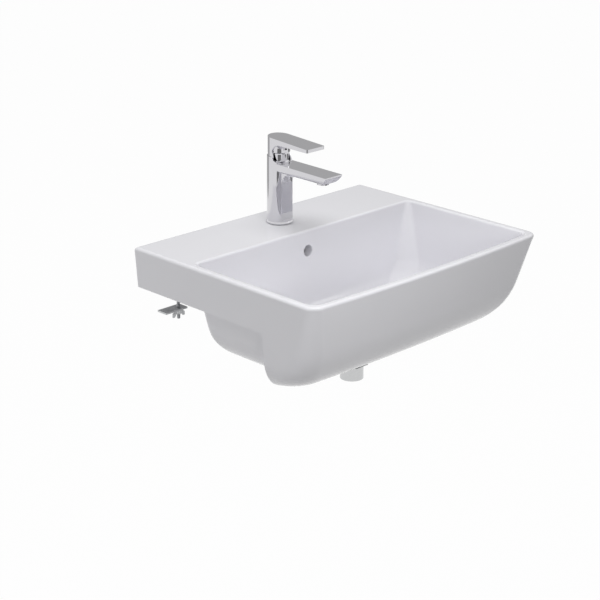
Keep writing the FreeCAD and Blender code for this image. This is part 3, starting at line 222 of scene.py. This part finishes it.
# ---------------------------------------------------------------- basin
# Slip cast vitreous china, glazed white all over: a rim block with a flat tap deck, a deep bowl in a hanging
# tub, and a skirt in front. Its walls lean in as they go down and end in large roundings.

HALF_WIDTH = 0.280
DEPTH = 0.4405
RIM_HEIGHT = 0.0727
SKIRT_DROP = 0.112
BOW_RADIUS = 4.2
SIDE_LEAN, FRONT_LEAN = math.radians(4.4), math.radians(13.4)
SIDE_ROUND, FRONT_ROUND = 0.066, 0.128
BACK_CORNER, RIM_CORNER, FOOT_CORNER = 0.003, 0.022, 0.057
RIM_EDGE = 0.006
UNDERSIDE_DEPTH = 0.311


def set_in(height, top, bottom, lean, rounding):
    """How far a wall has come in at each height: its lean, then the arc tangent to it and to the bottom."""
    centre = bottom + rounding
    start = centre - rounding * math.sin(lean)
    leaning = (top - np.maximum(height, start)) * math.tan(lean)
    past = np.maximum(centre - height, rounding * math.sin(lean))
    return leaning + rounding * math.cos(lean) - np.sqrt(np.maximum(0.0, rounding**2 - past**2))


def arc_points(centre_x, centre_y, radius, start, end, count):
    """Points on arcs, one row per arc: centre plus radius times cosine and sine of an angle that goes from
    start to end."""
    angle = start[:, None] + (end - start)[:, None] * np.linspace(0.0, 1.0, count)[None, :]
    x = centre_x[:, None] + radius[:, None] * np.cos(angle)
    y = centre_y[:, None] + radius[:, None] * np.sin(angle)
    return x, y


def outlines(half, back, apex, back_corner, corner, counts, bend=1.0):
    """Closed outlines seen from above, one row each: straight back and sides, four round corners and a bowed
    front. Half of each is laid from the middle of the back to the middle of the front, and then mirrored. A
    back corner that is larger than the bend turns twice by an eighth, with a flat facet between the turns."""
    straight, turn, side, front = counts
    ones = np.ones_like(half)
    x_parts, y_parts = [], []
    reach = np.linspace(0.0, 1.0, straight, endpoint=False)[None, :]
    bend = np.minimum(back_corner, bend)
    leg = (2.0 - math.sqrt(2.0)) * back_corner + (math.sqrt(2.0) - 1.0) * bend
    x_parts.append(reach * (half - leg)[:, None])
    y_parts.append(back[:, None] + 0.0 * reach)
    for middle_x, middle_y, eighth in ((half - leg, back - bend, 2), (half - bend, back - leg, 1)):
        start, end = ones * eighth * math.pi / 4, ones * (eighth - 1) * math.pi / 4
        x, y = arc_points(middle_x, middle_y, bend, start, end, turn // 2)
        x_parts.append(x)
        y_parts.append(y)
    bow_y = BOW_RADIUS - apex
    across = half - corner
    corner_y = bow_y - np.sqrt((BOW_RADIUS - corner) ** 2 - across**2)
    step = np.linspace(0.0, 1.0, side + 1)[None, 1:]
    start_y = back - leg
    x_parts.append(half[:, None] + 0.0 * step)
    y_parts.append(start_y[:, None] + step * (corner_y - start_y)[:, None])
    end = -np.arctan2(bow_y - corner_y, across)
    x, y = arc_points(across, corner_y, corner, ones * 0.0, end, turn)
    x_parts.append(x[:, 1:])
    y_parts.append(y[:, 1:])
    bow = np.arctan2(x[:, -1], bow_y - y[:, -1])
    angle = bow[:, None] * (1.0 - np.linspace(0.0, 1.0, front + 1)[None, 1:])
    x_parts.append(BOW_RADIUS * np.sin(angle))
    y_parts.append(bow_y[:, None] - BOW_RADIUS * np.cos(angle))
    x, y = np.concatenate(x_parts, axis=1), np.concatenate(y_parts, axis=1)
    x = np.concatenate([x, -x[:, -2:0:-1]], axis=1)
    y = np.concatenate([y, y[:, -2:0:-1]], axis=1)
    return x, y


def stack(x, y, z):
    """Rows of outlines and their heights as one array of points."""
    return np.stack([x, y, np.broadcast_to(z[:, None], x.shape)], axis=-1)


BOWL_SIDE_RIM, BOWL_FRONT_RIM = 0.0155, 0.016
DECK_DEPTH = 0.138
BOWL_DROP = 0.075
BOWL_SIDE_ROUND, BOWL_FRONT_ROUND, BOWL_BACK_ROUND = 0.048, 0.096, 0.030
BOWL_BACK_LEAN = math.radians(4.0)
BOWL_BACK_CORNER, BOWL_BACK_CORNER_GROWTH = 0.010, 0.060
BOWL_FRONT_CORNER, BOWL_FRONT_CORNER_GROWTH = 0.014, 0.046
BOWL_EDGE = 0.004
BOWL_BEND = 0.010
WASTE_Y, WASTE_SEAT_DROP, WASTE_HOLE_RADIUS = -0.250, 0.079, 0.023
SEAT_RADIUS, DISH_RADIUS = 0.034, 0.060
DISH_TURN_OUT, DISH_TURN_IN, DISH_TURN_DROP = 0.002, 0.001, 0.0004
SEAT_TURN_OUT, SEAT_TURN_RISE, SEAT_INSIDE = 0.001, 0.0002, 0.005
OUTLINE_COUNTS = (24, 20, 40, 60)
DRAFT_ROWS, ROUND_ROWS, EDGE_ROWS, FLOOR_ROWS = 14, 26, 7, 10


def wall_heights(top, bottom, lean, rounding):
    """Heights down a wall: even steps along its straight part, then even turns round its arc."""
    start = bottom + rounding - rounding * math.sin(lean)
    straight = np.linspace(top, start, DRAFT_ROWS, endpoint=False)
    turn = np.linspace(lean, math.pi / 2, ROUND_ROWS)
    return np.concatenate([straight, bottom + rounding * (1.0 - np.sin(turn))])


def hull_rings():
    """Rings of the outside from the rim's edge down to the bottom of the skirt."""
    top, bottom = RIM_HEIGHT, -SKIRT_DROP
    z = wall_heights(top - RIM_EDGE, bottom, FRONT_LEAN, FRONT_ROUND)
    share = (top - z) / (top - bottom)
    half = HALF_WIDTH - set_in(z, top, bottom, SIDE_LEAN, SIDE_ROUND)
    apex = DEPTH - set_in(z, top, bottom, FRONT_LEAN, FRONT_ROUND)
    corner = RIM_CORNER + (FOOT_CORNER - RIM_CORNER) * share
    x, y = outlines(half, 0.0 * z, apex, 0.0 * z + BACK_CORNER, corner, OUTLINE_COUNTS)
    return stack(x, y, z)


def rim_rings():
    """The rounded outer edge of the rim, from the deck's plane down to the leaning walls."""
    turn = np.linspace(math.pi / 2, 0.0, EDGE_ROWS)
    z = RIM_HEIGHT - RIM_EDGE * (1.0 - np.sin(turn))
    back_in = RIM_EDGE * (1.0 - np.cos(turn))
    top, bottom = RIM_HEIGHT, -SKIRT_DROP
    half = HALF_WIDTH - set_in(z, top, bottom, SIDE_LEAN, SIDE_ROUND) - back_in
    apex = DEPTH - set_in(z, top, bottom, FRONT_LEAN, FRONT_ROUND) - back_in
    corner = RIM_CORNER - back_in
    x, y = outlines(half, -back_in, apex, 0.0 * z + BACK_CORNER, corner, OUTLINE_COUNTS)
    return stack(x, y, z)


def bowl_rings():
    """Rings of the bowl: its rounded mouth and its leaning walls, down to where its flat floor starts."""
    top, bottom = RIM_HEIGHT, -BOWL_DROP
    z = wall_heights(top - BOWL_EDGE, bottom, FRONT_LEAN, BOWL_FRONT_ROUND)
    turn = np.linspace(math.pi / 2, 0.0, EDGE_ROWS)[:-1]
    z = np.concatenate([top - BOWL_EDGE * (1.0 - np.sin(turn)), z])
    out = np.concatenate([BOWL_EDGE * (1.0 - np.cos(turn)), np.zeros(DRAFT_ROWS + ROUND_ROWS)])
    share = (top - z) / (top - bottom)
    half = HALF_WIDTH - BOWL_SIDE_RIM - set_in(z, top, bottom, SIDE_LEAN, BOWL_SIDE_ROUND) + out
    back = -DECK_DEPTH - set_in(z, top, bottom, BOWL_BACK_LEAN, BOWL_BACK_ROUND) + out
    apex = DEPTH - BOWL_FRONT_RIM - set_in(z, top, bottom, FRONT_LEAN, BOWL_FRONT_ROUND) + out
    back_corner = BOWL_BACK_CORNER + BOWL_BACK_CORNER_GROWTH * share + out
    corner = BOWL_FRONT_CORNER + BOWL_FRONT_CORNER_GROWTH * share + out
    x, y = outlines(half, back, apex, back_corner, corner, OUTLINE_COUNTS, BOWL_BEND)
    return stack(x, y, z)


def at_height(flat, height):
    """A row of points in plan, each with the same height added."""
    return np.concatenate([flat, np.full((len(flat), 1), height)], axis=1)


def floor_rings(last):
    """From the bowl's lowest ring in to the dish round the waste and down its cone to the seat and the hole:
    each ring lies on the straight way from the last outline to a circle round the waste."""
    centre = np.array([0.0, WASTE_Y])
    away = last[:, :2] - centre
    angle = np.arctan2(away[:, 1], away[:, 0])
    circle = np.stack([np.cos(angle), np.sin(angle)], axis=-1)
    rings = []
    for share in np.linspace(0.0, 1.0, FLOOR_ROWS)[1:-1]:
        flat = centre + away * (1.0 - share) + circle * DISH_RADIUS * share
        rings.append(at_height(flat, -BOWL_DROP))
    profile = [(DISH_RADIUS + DISH_TURN_OUT, -BOWL_DROP),
               (DISH_RADIUS - DISH_TURN_IN, -BOWL_DROP - DISH_TURN_DROP),
               (SEAT_RADIUS + SEAT_TURN_OUT, SEAT_TURN_RISE - WASTE_SEAT_DROP),
               (SEAT_RADIUS, -WASTE_SEAT_DROP),
               (WASTE_HOLE_RADIUS - SEAT_INSIDE, -WASTE_SEAT_DROP)]
    for radius, height in profile:
        rings.append(at_height(centre + circle * radius, height))
    return np.array(rings)


def ring_solid(name, rings):
    """A closed body from a stack of rings: quads between them and a flat face over the first and the last."""
    mesh = grid_mesh(name, rings, closed=True)
    rows, columns = rings.shape[:2]
    points = rings.reshape(-1, 3).tolist()
    faces = [list(polygon.vertices) for polygon in mesh.polygons]
    faces.append(list(range(columns))[::-1])
    faces.append(list(range((rows - 1) * columns, rows * columns)))
    closed = bpy.data.meshes.new(name)
    closed.from_pydata(points, [], faces)
    closed.update()
    bpy.data.meshes.remove(mesh)
    return closed


def box_solid(low, high):
    """A plain block between two corners: one ring of four points at its top, and one at its bottom."""
    flat = np.array([[low[0], high[1]], [high[0], high[1]], [high[0], low[1]], [low[0], low[1]]])
    return ring_solid("block", np.array([at_height(flat, high[2]), at_height(flat, low[2])]))


def turned_rings(profile, centre, count=96):
    """Rings of a shape turned round an upright axis, one for each (radius, height), from the top down."""
    angle = -np.linspace(0.0, 2.0 * math.pi, count, endpoint=False)
    circle = np.stack([np.cos(angle), np.sin(angle)], axis=-1)
    return np.array([at_height(np.array(centre) + circle * radius, height) for radius, height in profile])


def carve(thing, tool_mesh, how):
    """Cuts the tool out of the thing, or joins it on, and keeps only the result."""
    tool = place_object("tool", tool_mesh)
    step = thing.modifiers.new("carve", "BOOLEAN")
    step.operation = how
    step.solver = "EXACT"
    step.object = tool
    graph = bpy.context.evaluated_depsgraph_get()
    made = bpy.data.meshes.new_from_object(thing.evaluated_get(graph))
    thing.modifiers.remove(step)
    old = thing.data
    thing.data = made
    bpy.data.meshes.remove(old)
    bpy.data.objects.remove(tool)
    bpy.data.meshes.remove(tool_mesh)


def new_finish(name, metallic):
    """A node material with one principled shader on its surface, and its tree and that shader."""
    material, tree, output = new_material(name)
    shader = tree.nodes.new("ShaderNodeBsdfPrincipled")
    shader.inputs["Metallic"].default_value = metallic
    tree.links.new(shader.outputs["BSDF"], output.inputs["Surface"])
    return material, tree, shader


def noise_over(tree, scale, detail, stretch=None):
    """Noise over the object's own coordinates: finer as its scale grows, and stretched by axis if asked."""
    place = tree.nodes.new("ShaderNodeTexCoord").outputs["Object"]
    if stretch:
        mapping = tree.nodes.new("ShaderNodeMapping")
        mapping.inputs["Scale"].default_value = stretch
        tree.links.new(place, mapping.inputs["Vector"])
        place = mapping.outputs["Vector"]
    noise = tree.nodes.new("ShaderNodeTexNoise")
    noise.inputs["Scale"].default_value = scale
    noise.inputs["Detail"].default_value = detail
    tree.links.new(place, noise.inputs["Vector"])
    return noise.outputs["Fac"]


def tint(tree, shader, pattern, dark, light):
    """Gives a shader a colour that runs from dark to light as the pattern's value grows."""
    tone = tree.nodes.new("ShaderNodeValToRGB")
    tone.color_ramp.elements[0].color = (*dark, 1.0)
    tone.color_ramp.elements[1].color = (*light, 1.0)
    tree.links.new(pattern, tone.inputs["Fac"])
    tree.links.new(tone.outputs["Color"], shader.inputs["Base Color"])


def emboss(tree, shader, pattern, strength, height):
    """Tilts a shader's normals as if the surface rose by the height times the pattern's value."""
    bump = tree.nodes.new("ShaderNodeBump")
    bump.inputs["Strength"].default_value = strength
    bump.inputs["Distance"].default_value = height
    tree.links.new(pattern, bump.inputs["Height"])
    tree.links.new(bump.outputs["Normal"], shader.inputs["Normal"])


def glaze():
    """White glaze over china: a hard gloss with a slow wave in it, and a trace of unevenness in the white."""
    material, tree, shader = new_finish("white_glaze", 0.0)
    shader.inputs["Roughness"].default_value = 0.09
    shader.inputs["IOR"].default_value = 1.5
    cloud = noise_over(tree, 9.0, 3.0)
    tint(tree, shader, cloud, (0.842, 0.838, 0.872), (0.868, 0.864, 0.898))
    wave = noise_over(tree, 22.0, 2.0)
    emboss(tree, shader, wave, 0.03, 0.001)
    return material


rim = rim_rings()
hull = hull_rings()
bowl = bowl_rings()
bowl_floor = floor_rings(bowl[-1])
DECK_SHARES = np.array([0.01, 0.5, 0.99])[:, None, None]
deck = bowl[0][None] * (1.0 - DECK_SHARES) + rim[0][None] * DECK_SHARES
block_rings = np.concatenate([bowl_floor[::-1], bowl[::-1], deck, rim, hull[1:]])
basin = add_object("basin", ring_solid("basin", block_rings), glaze())

CHINA_WALL, DECK_WALL = 0.009, 0.014
TUB_TOP, TUB_BOTTOM = 0.010, -BOWL_DROP - CHINA_WALL
TUB_PAST_UNDERSIDE, TUB_FRONT_CORNER = 0.030, 0.004


def tub_rings():
    """Rings of the tub's outside, one wall outside the bowl, from the rim block's underside down."""
    side_round = BOWL_SIDE_ROUND + CHINA_WALL
    z = wall_heights(TUB_TOP, TUB_BOTTOM, SIDE_LEAN, side_round)
    share = (RIM_HEIGHT - z) / (RIM_HEIGHT - TUB_BOTTOM)
    side_in = set_in(z, RIM_HEIGHT, TUB_BOTTOM, SIDE_LEAN, side_round)
    back_in = set_in(z, RIM_HEIGHT, TUB_BOTTOM, BOWL_BACK_LEAN, BOWL_BACK_ROUND + CHINA_WALL)
    half = HALF_WIDTH - BOWL_SIDE_RIM + CHINA_WALL - side_in
    back = CHINA_WALL - DECK_DEPTH - back_in
    back_corner = CHINA_WALL + BOWL_BACK_CORNER + BOWL_BACK_CORNER_GROWTH * share
    corner = 0.0 * z + TUB_FRONT_CORNER
    apex = 0.0 * z + UNDERSIDE_DEPTH + TUB_PAST_UNDERSIDE
    x, y = outlines(half, back, apex, back_corner, corner, OUTLINE_COUNTS, BOWL_BEND + CHINA_WALL)
    return stack(x, y, z)


DECK_UNDERSIDE = RIM_HEIGHT - DECK_WALL
CAVITY_BACK, CAVITY_FRONT = -0.013, CHINA_WALL - DECK_DEPTH
DUCT_HALF, DUCT_THICK = 0.034, 0.026
DUCT_BACK = CAVITY_FRONT + DUCT_THICK
CHANNEL_HALF, CHANNEL_LOW, CHANNEL_TALL, CHANNEL_FLOOR = 0.022, -0.104, 0.012, 0.008
OVERFLOW_HEIGHT, OVERFLOW_RADIUS, OVERFLOW_EDGE = 0.035, 0.010, 0.002
OVERFLOW_BEHIND, OVERFLOW_BEFORE = 0.022, 0.004
TAP_Y, TAP_HOLE_RADIUS = -0.068, 0.0175
FIXING_X, FIXING_Y, FIXING_BOSS_RADIUS, FIXING_HOLE_RADIUS = 0.236, -0.062, 0.013, 0.0052
FIXING_BOSS_LENGTH, FIXING_HOLE_DEPTH = 0.032, 0.022
BOSS_RADIUS, BOSS_LOW = 0.041, -0.124
PAST, SUNK, FIXING_BOSS_SUNK, LEVEL_RUN_SHORT = 0.01, 0.004, 0.002, 0.001
ROOM_HALF, ROOM_LOW, ROOM_BACK = 0.4, -0.3, 0.1
MOUTH_ROWS, OVERFLOW_COUNT, FIXING_COUNT = 6, 64, 48


def overflow_rings():
    """The overflow hole as rings round a level axis: straight through the wall, with a mouth that flares by a
    quarter circle, and sheared along Y so that it follows the leaning wall."""
    wall = -DECK_DEPTH - (RIM_HEIGHT - OVERFLOW_HEIGHT) * math.tan(BOWL_BACK_LEAN)
    turn = np.linspace(0.0, math.pi / 2, MOUTH_ROWS)
    mouth = wall + OVERFLOW_EDGE * (1.0 - np.sin(turn))
    along = np.concatenate([[wall + OVERFLOW_BEHIND], mouth, [wall - OVERFLOW_BEFORE]])
    flare = OVERFLOW_RADIUS + OVERFLOW_EDGE * (1.0 - np.cos(turn))
    radius = np.concatenate([[OVERFLOW_RADIUS], flare, [OVERFLOW_RADIUS + OVERFLOW_EDGE]])
    angle = np.linspace(0.0, 2.0 * math.pi, OVERFLOW_COUNT, endpoint=False)
    x = radius[:, None] * np.cos(angle)
    z = radius[:, None] * np.sin(angle)
    y = along[:, None] + z * math.tan(BOWL_BACK_LEAN)
    return np.stack([x, y, z + OVERFLOW_HEIGHT], axis=-1)


def mesh_of(thing):
    """The mesh of an object that was only a shape to carve with; the object goes away."""
    mesh = thing.data.copy()
    bpy.data.objects.remove(thing)
    return mesh


# The room below the rim block, with the hollow behind the bowl, but without the tub and the overflow's duct.
room = place_object("room", box_solid((-ROOM_HALF, -UNDERSIDE_DEPTH, ROOM_LOW), (ROOM_HALF, ROOM_BACK, 0.0)))
inside_half = HALF_WIDTH - BOWL_SIDE_RIM
hollow = box_solid((-inside_half, CAVITY_FRONT, -PAST), (inside_half, CAVITY_BACK, DECK_UNDERSIDE))
carve(room, hollow, "UNION")
carve(room, ring_solid("tub", tub_rings()), "DIFFERENCE")
duct = box_solid((-DUCT_HALF, WASTE_Y, ROOM_LOW - PAST), (DUCT_HALF, DUCT_BACK, DECK_UNDERSIDE + PAST))
carve(room, duct, "DIFFERENCE")
carve(basin, mesh_of(room), "DIFFERENCE")

# The boss round the waste, and the two that take the clamps' anchors, with their blind holes.
waste_boss = [(BOSS_RADIUS, -WASTE_SEAT_DROP - SUNK), (BOSS_RADIUS, BOSS_LOW)]
carve(basin, ring_solid("boss", turned_rings(waste_boss, (0.0, WASTE_Y))), "UNION")
fixing_boss_low = DECK_UNDERSIDE - FIXING_BOSS_LENGTH
for side in (-1, 1):
    fixing = (side * FIXING_X, FIXING_Y)
    boss = [(FIXING_BOSS_RADIUS, DECK_UNDERSIDE + FIXING_BOSS_SUNK), (FIXING_BOSS_RADIUS, fixing_boss_low)]
    hole = [(FIXING_HOLE_RADIUS, fixing_boss_low + FIXING_HOLE_DEPTH), (FIXING_HOLE_RADIUS, 0.0)]
    carve(basin, ring_solid("fixing_boss", turned_rings(boss, fixing, FIXING_COUNT)), "UNION")
    carve(basin, ring_solid("fixing_hole", turned_rings(hole, fixing, FIXING_COUNT)), "DIFFERENCE")

# The overflow's way: down behind the bowl, forward to the waste, and the waste's own hole.
passage_back = DUCT_BACK - CHANNEL_FLOOR
passage_top = OVERFLOW_HEIGHT + OVERFLOW_RADIUS
down_run = box_solid((-CHANNEL_HALF, passage_back - CHANNEL_TALL, CHANNEL_LOW),
                     (CHANNEL_HALF, passage_back, passage_top))
level_run = box_solid((-CHANNEL_HALF, WASTE_Y, CHANNEL_LOW),
                      (CHANNEL_HALF, passage_back - LEVEL_RUN_SHORT, CHANNEL_LOW + CHANNEL_TALL))
waste_hole = [(WASTE_HOLE_RADIUS, SUNK - WASTE_SEAT_DROP), (WASTE_HOLE_RADIUS, BOSS_LOW - PAST)]
passage = place_object("passage", down_run)
carve(passage, level_run, "UNION")
carve(passage, ring_solid("waste_hole", turned_rings(waste_hole, (0.0, WASTE_Y))), "UNION")
carve(basin, mesh_of(passage), "DIFFERENCE")
carve(basin, ring_solid("overflow", overflow_rings()), "DIFFERENCE")
tap_hole = [(TAP_HOLE_RADIUS, RIM_HEIGHT + PAST), (TAP_HOLE_RADIUS, DECK_UNDERSIDE - PAST)]
carve(basin, ring_solid("tap_hole", turned_rings(tap_hole, (0.0, TAP_Y))), "DIFFERENCE")

CHINA_SHARP = math.radians(40)
basin.data.set_sharp_from_angle(angle=CHINA_SHARP)
even = basin.modifiers.new("even", "WEIGHTED_NORMAL")
even.keep_sharp = True
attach(basin, "basin")
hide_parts("basin_body")

# ---------------------------------------------------------------- tap
# Brass castings, polished and chromium plated: a round column with a flat spout, a lever on a ball skirt, and
# a round cover in the neck between them. Plating this smooth only shows the room, with the faintest wave.


def darker(colour, share):
    """A colour with each of its parts times the share."""
    return tuple(part * share for part in colour)


def roughen(tree, shader, pattern, low, high):
    """Gives a shader a roughness that runs from low to high as the pattern's value grows."""
    spread = tree.nodes.new("ShaderNodeMapRange")
    spread.inputs["To Min"].default_value = low
    spread.inputs["To Max"].default_value = high
    tree.links.new(pattern, spread.inputs["Value"])
    tree.links.new(spread.outputs["Result"], shader.inputs["Roughness"])


def plated(name, colour, roughness, wave_height):
    """Polished plating: mirror metal with a slow wave in its surface and faint clouds in its polish."""
    material, tree, shader = new_finish(name, 1.0)
    cloud = noise_over(tree, 60.0, 4.0)
    tint(tree, shader, cloud, darker(colour, 0.96), colour)
    roughen(tree, shader, cloud, roughness * 0.8, roughness * 1.3)
    wave = noise_over(tree, 45.0, 1.0)
    emboss(tree, shader, wave, 0.2, wave_height)
    return material


def dress(material, *nodes):
    """Gives CAD nodes a material in place of their plain one."""
    for node in nodes:
        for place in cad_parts[node].material_slots:
            place.material = material


CHROME = (0.66, 0.655, 0.68)
chrome = plated("polished_chrome", CHROME, 0.045, 0.00003)
dress(chrome, "tap_body", "tap_lever", "lever_index_cap", "cartridge_cover", "aerator_housing")


def moulded(name, colour, roughness, grain):
    """Moulded plastic or rubber: a matt skin with a fine grain and a slightly uneven tone."""
    material, tree, shader = new_finish(name, 0.0)
    shader.inputs["Roughness"].default_value = roughness
    speckle = noise_over(tree, 900.0, 3.0)
    tint(tree, shader, speckle, darker(colour, 0.88), colour)
    emboss(tree, shader, speckle, 0.35, grain)
    return material


white_plastic = moulded("white_acetal", (0.74, 0.74, 0.72), 0.38, 0.00004)
grey_plastic = moulded("grey_acetal", (0.22, 0.23, 0.24), 0.42, 0.00004)
rubber = moulded("black_rubber", (0.035, 0.035, 0.037), 0.62, 0.00008)
dress(white_plastic, "aerator_insert")
dress(rubber, "aerator_gasket", "tap_base_gasket")

# ---------------------------------------------------------------- cartridge
# The valve in the neck, out of sight under its cover: acetal housing, rotor and carrier, two lapped ceramic
# discs, rubber port seals, a steel pin and spindle with its screw, and a brass nut that holds it all down.


def machined(name, colour, roughness, line_scale):
    """Turned or drawn metal: bright with fine rings round its length from the tool."""
    material, tree, shader = new_finish(name, 1.0)
    lines = noise_over(tree, line_scale, 5.0, stretch=(0.06, 0.06, 1.0))
    tint(tree, shader, lines, darker(colour, 0.82), colour)
    roughen(tree, shader, lines, roughness * 0.7, roughness * 1.4)
    emboss(tree, shader, lines, 0.4, 0.00006)
    return material


brass = machined("turned_brass", (0.72, 0.52, 0.24), 0.28, 2600.0)
stainless = machined("drawn_stainless", (0.58, 0.57, 0.55), 0.24, 3000.0)
ceramic = moulded("lapped_ceramic", (0.80, 0.79, 0.75), 0.16, 0.00001)
dress(white_plastic, "cartridge_housing", "cartridge_rotor")
dress(grey_plastic, "cartridge_disc_carrier")
dress(ceramic, "cartridge_fixed_disc", "cartridge_moving_disc")
dress(rubber, "cartridge_seals")
dress(stainless, "cartridge_pivot_pin", "cartridge_spindle", "lever_set_screw")
dress(brass, "cartridge_nut")

# ---------------------------------------------------------------- tap fixing
# What pulls the tap down from under the deck: a threaded stud in the column's foot, a rubber washer and a
# pressed plate, both horseshoe shaped to pass the supply pipes, and a long brass nut.


def galvanised(name, colour):
    """Zinc plating: a soft metallic grey with pale and dark flakes a few millimetres wide."""
    material, tree, shader = new_finish(name, 0.9)
    place = tree.nodes.new("ShaderNodeTexCoord")
    flakes = tree.nodes.new("ShaderNodeTexVoronoi")
    flakes.inputs["Scale"].default_value = 420.0
    tree.links.new(place.outputs["Object"], flakes.inputs["Vector"])
    tint(tree, shader, flakes.outputs["Color"], darker(colour, 0.8), colour)
    roughen(tree, shader, flakes.outputs["Distance"], 0.28, 0.46)
    emboss(tree, shader, flakes.outputs["Distance"], 0.25, 0.00005)
    return material


THREAD_COLUMNS, ROWS_A_TURN = 36, 8
THREAD_DEPTH, TIP_TAPER = 0.55, 0.12
THREAD_SHARP = math.radians(35)
STUD_PITCH = 0.00125


def threaded_rod(name, centre, radius, low, high, pitch, material):
    """A screw thread: the radius falls and rises by a triangle wave of the height plus the turn, and the two
    ends close flat after a small taper."""
    rows = int((high - low) / pitch * ROWS_A_TURN) + 1
    angle = np.linspace(0.0, 2.0 * math.pi, THREAD_COLUMNS, endpoint=False)[None, :]
    z = np.linspace(high, low, rows)[:, None]
    phase = (z / pitch + angle / (2.0 * math.pi)) % 1.0
    depth = pitch * THREAD_DEPTH * (1.0 - np.abs(2.0 * phase - 1.0))
    end = np.minimum(high - z, z - low) / pitch
    tip = radius * TIP_TAPER * np.clip(1.0 - end, 0.0, 1.0)
    around = radius - np.maximum(depth, tip)
    x, y = centre[0] + around * np.cos(angle), centre[1] + around * np.sin(angle)
    rings = np.stack([x, y, np.broadcast_to(z, x.shape)], axis=-1)[:, ::-1]
    rod = add_object(name, ring_solid(name, rings), material)
    rod.data.set_sharp_from_angle(angle=THREAD_SHARP)
    return rod


zinc = galvanised("zinc_plate", (0.62, 0.63, 0.64))
dress(rubber, "tap_rubber_washer")
dress(zinc, "tap_horseshoe_plate")
dress(brass, "tap_fixing_nut")
low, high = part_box("tap_stud")
stud_radius = (high[0] - low[0]) / 2
stud_centre = (0.0, (low[1] + high[1]) / 2)
stud = threaded_rod("tap_stud_thread", stud_centre, stud_radius, low[2], high[2], STUD_PITCH, brass)
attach(stud, "basin")
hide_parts("tap_stud")

# ---------------------------------------------------------------- waste and plug
# Plated brass: a flanged tube down through the bowl's hole with slots for the overflow, held from below by a
# tapered rubber, a washer and a backnut, and a sprung push plug that stands open over the flange.

plated_brass = plated("satin_plate", (0.58, 0.585, 0.59), 0.12, 0.0001)
dress(plated_brass, "waste_body")
dress(chrome, "plug_cap")
dress(rubber, "waste_flange_gasket", "waste_under_gasket", "plug_seal")
dress(grey_plastic, "waste_washer", "waste_backnut")
dress(brass, "plug_plunger", "plug_latch_housing")
dress(stainless, "plug_spring")

# ---------------------------------------------------------------- clamps
# Two zinc plated sets that hold the basin down: a threaded rod in a plastic anchor up in the china, and a
# plate, a washer and a wing nut that pull it down from below.

dress(grey_plastic, "fixing_anchors")
dress(zinc, "clamp_plates", "clamp_washers", "clamp_wing_nuts")
BOLT_PITCH = 0.001
low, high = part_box("fixing_bolts")
bolt_radius = (high[1] - low[1]) / 2
for name, side in (("left", -1), ("right", 1)):
    centre = (side * FIXING_X, FIXING_Y)
    bolt = threaded_rod(f"fixing_thread_{name}", centre, bolt_radius, low[2], high[2], BOLT_PITCH, zinc)
    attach(bolt, "basin")
    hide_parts("fixing_bolts")
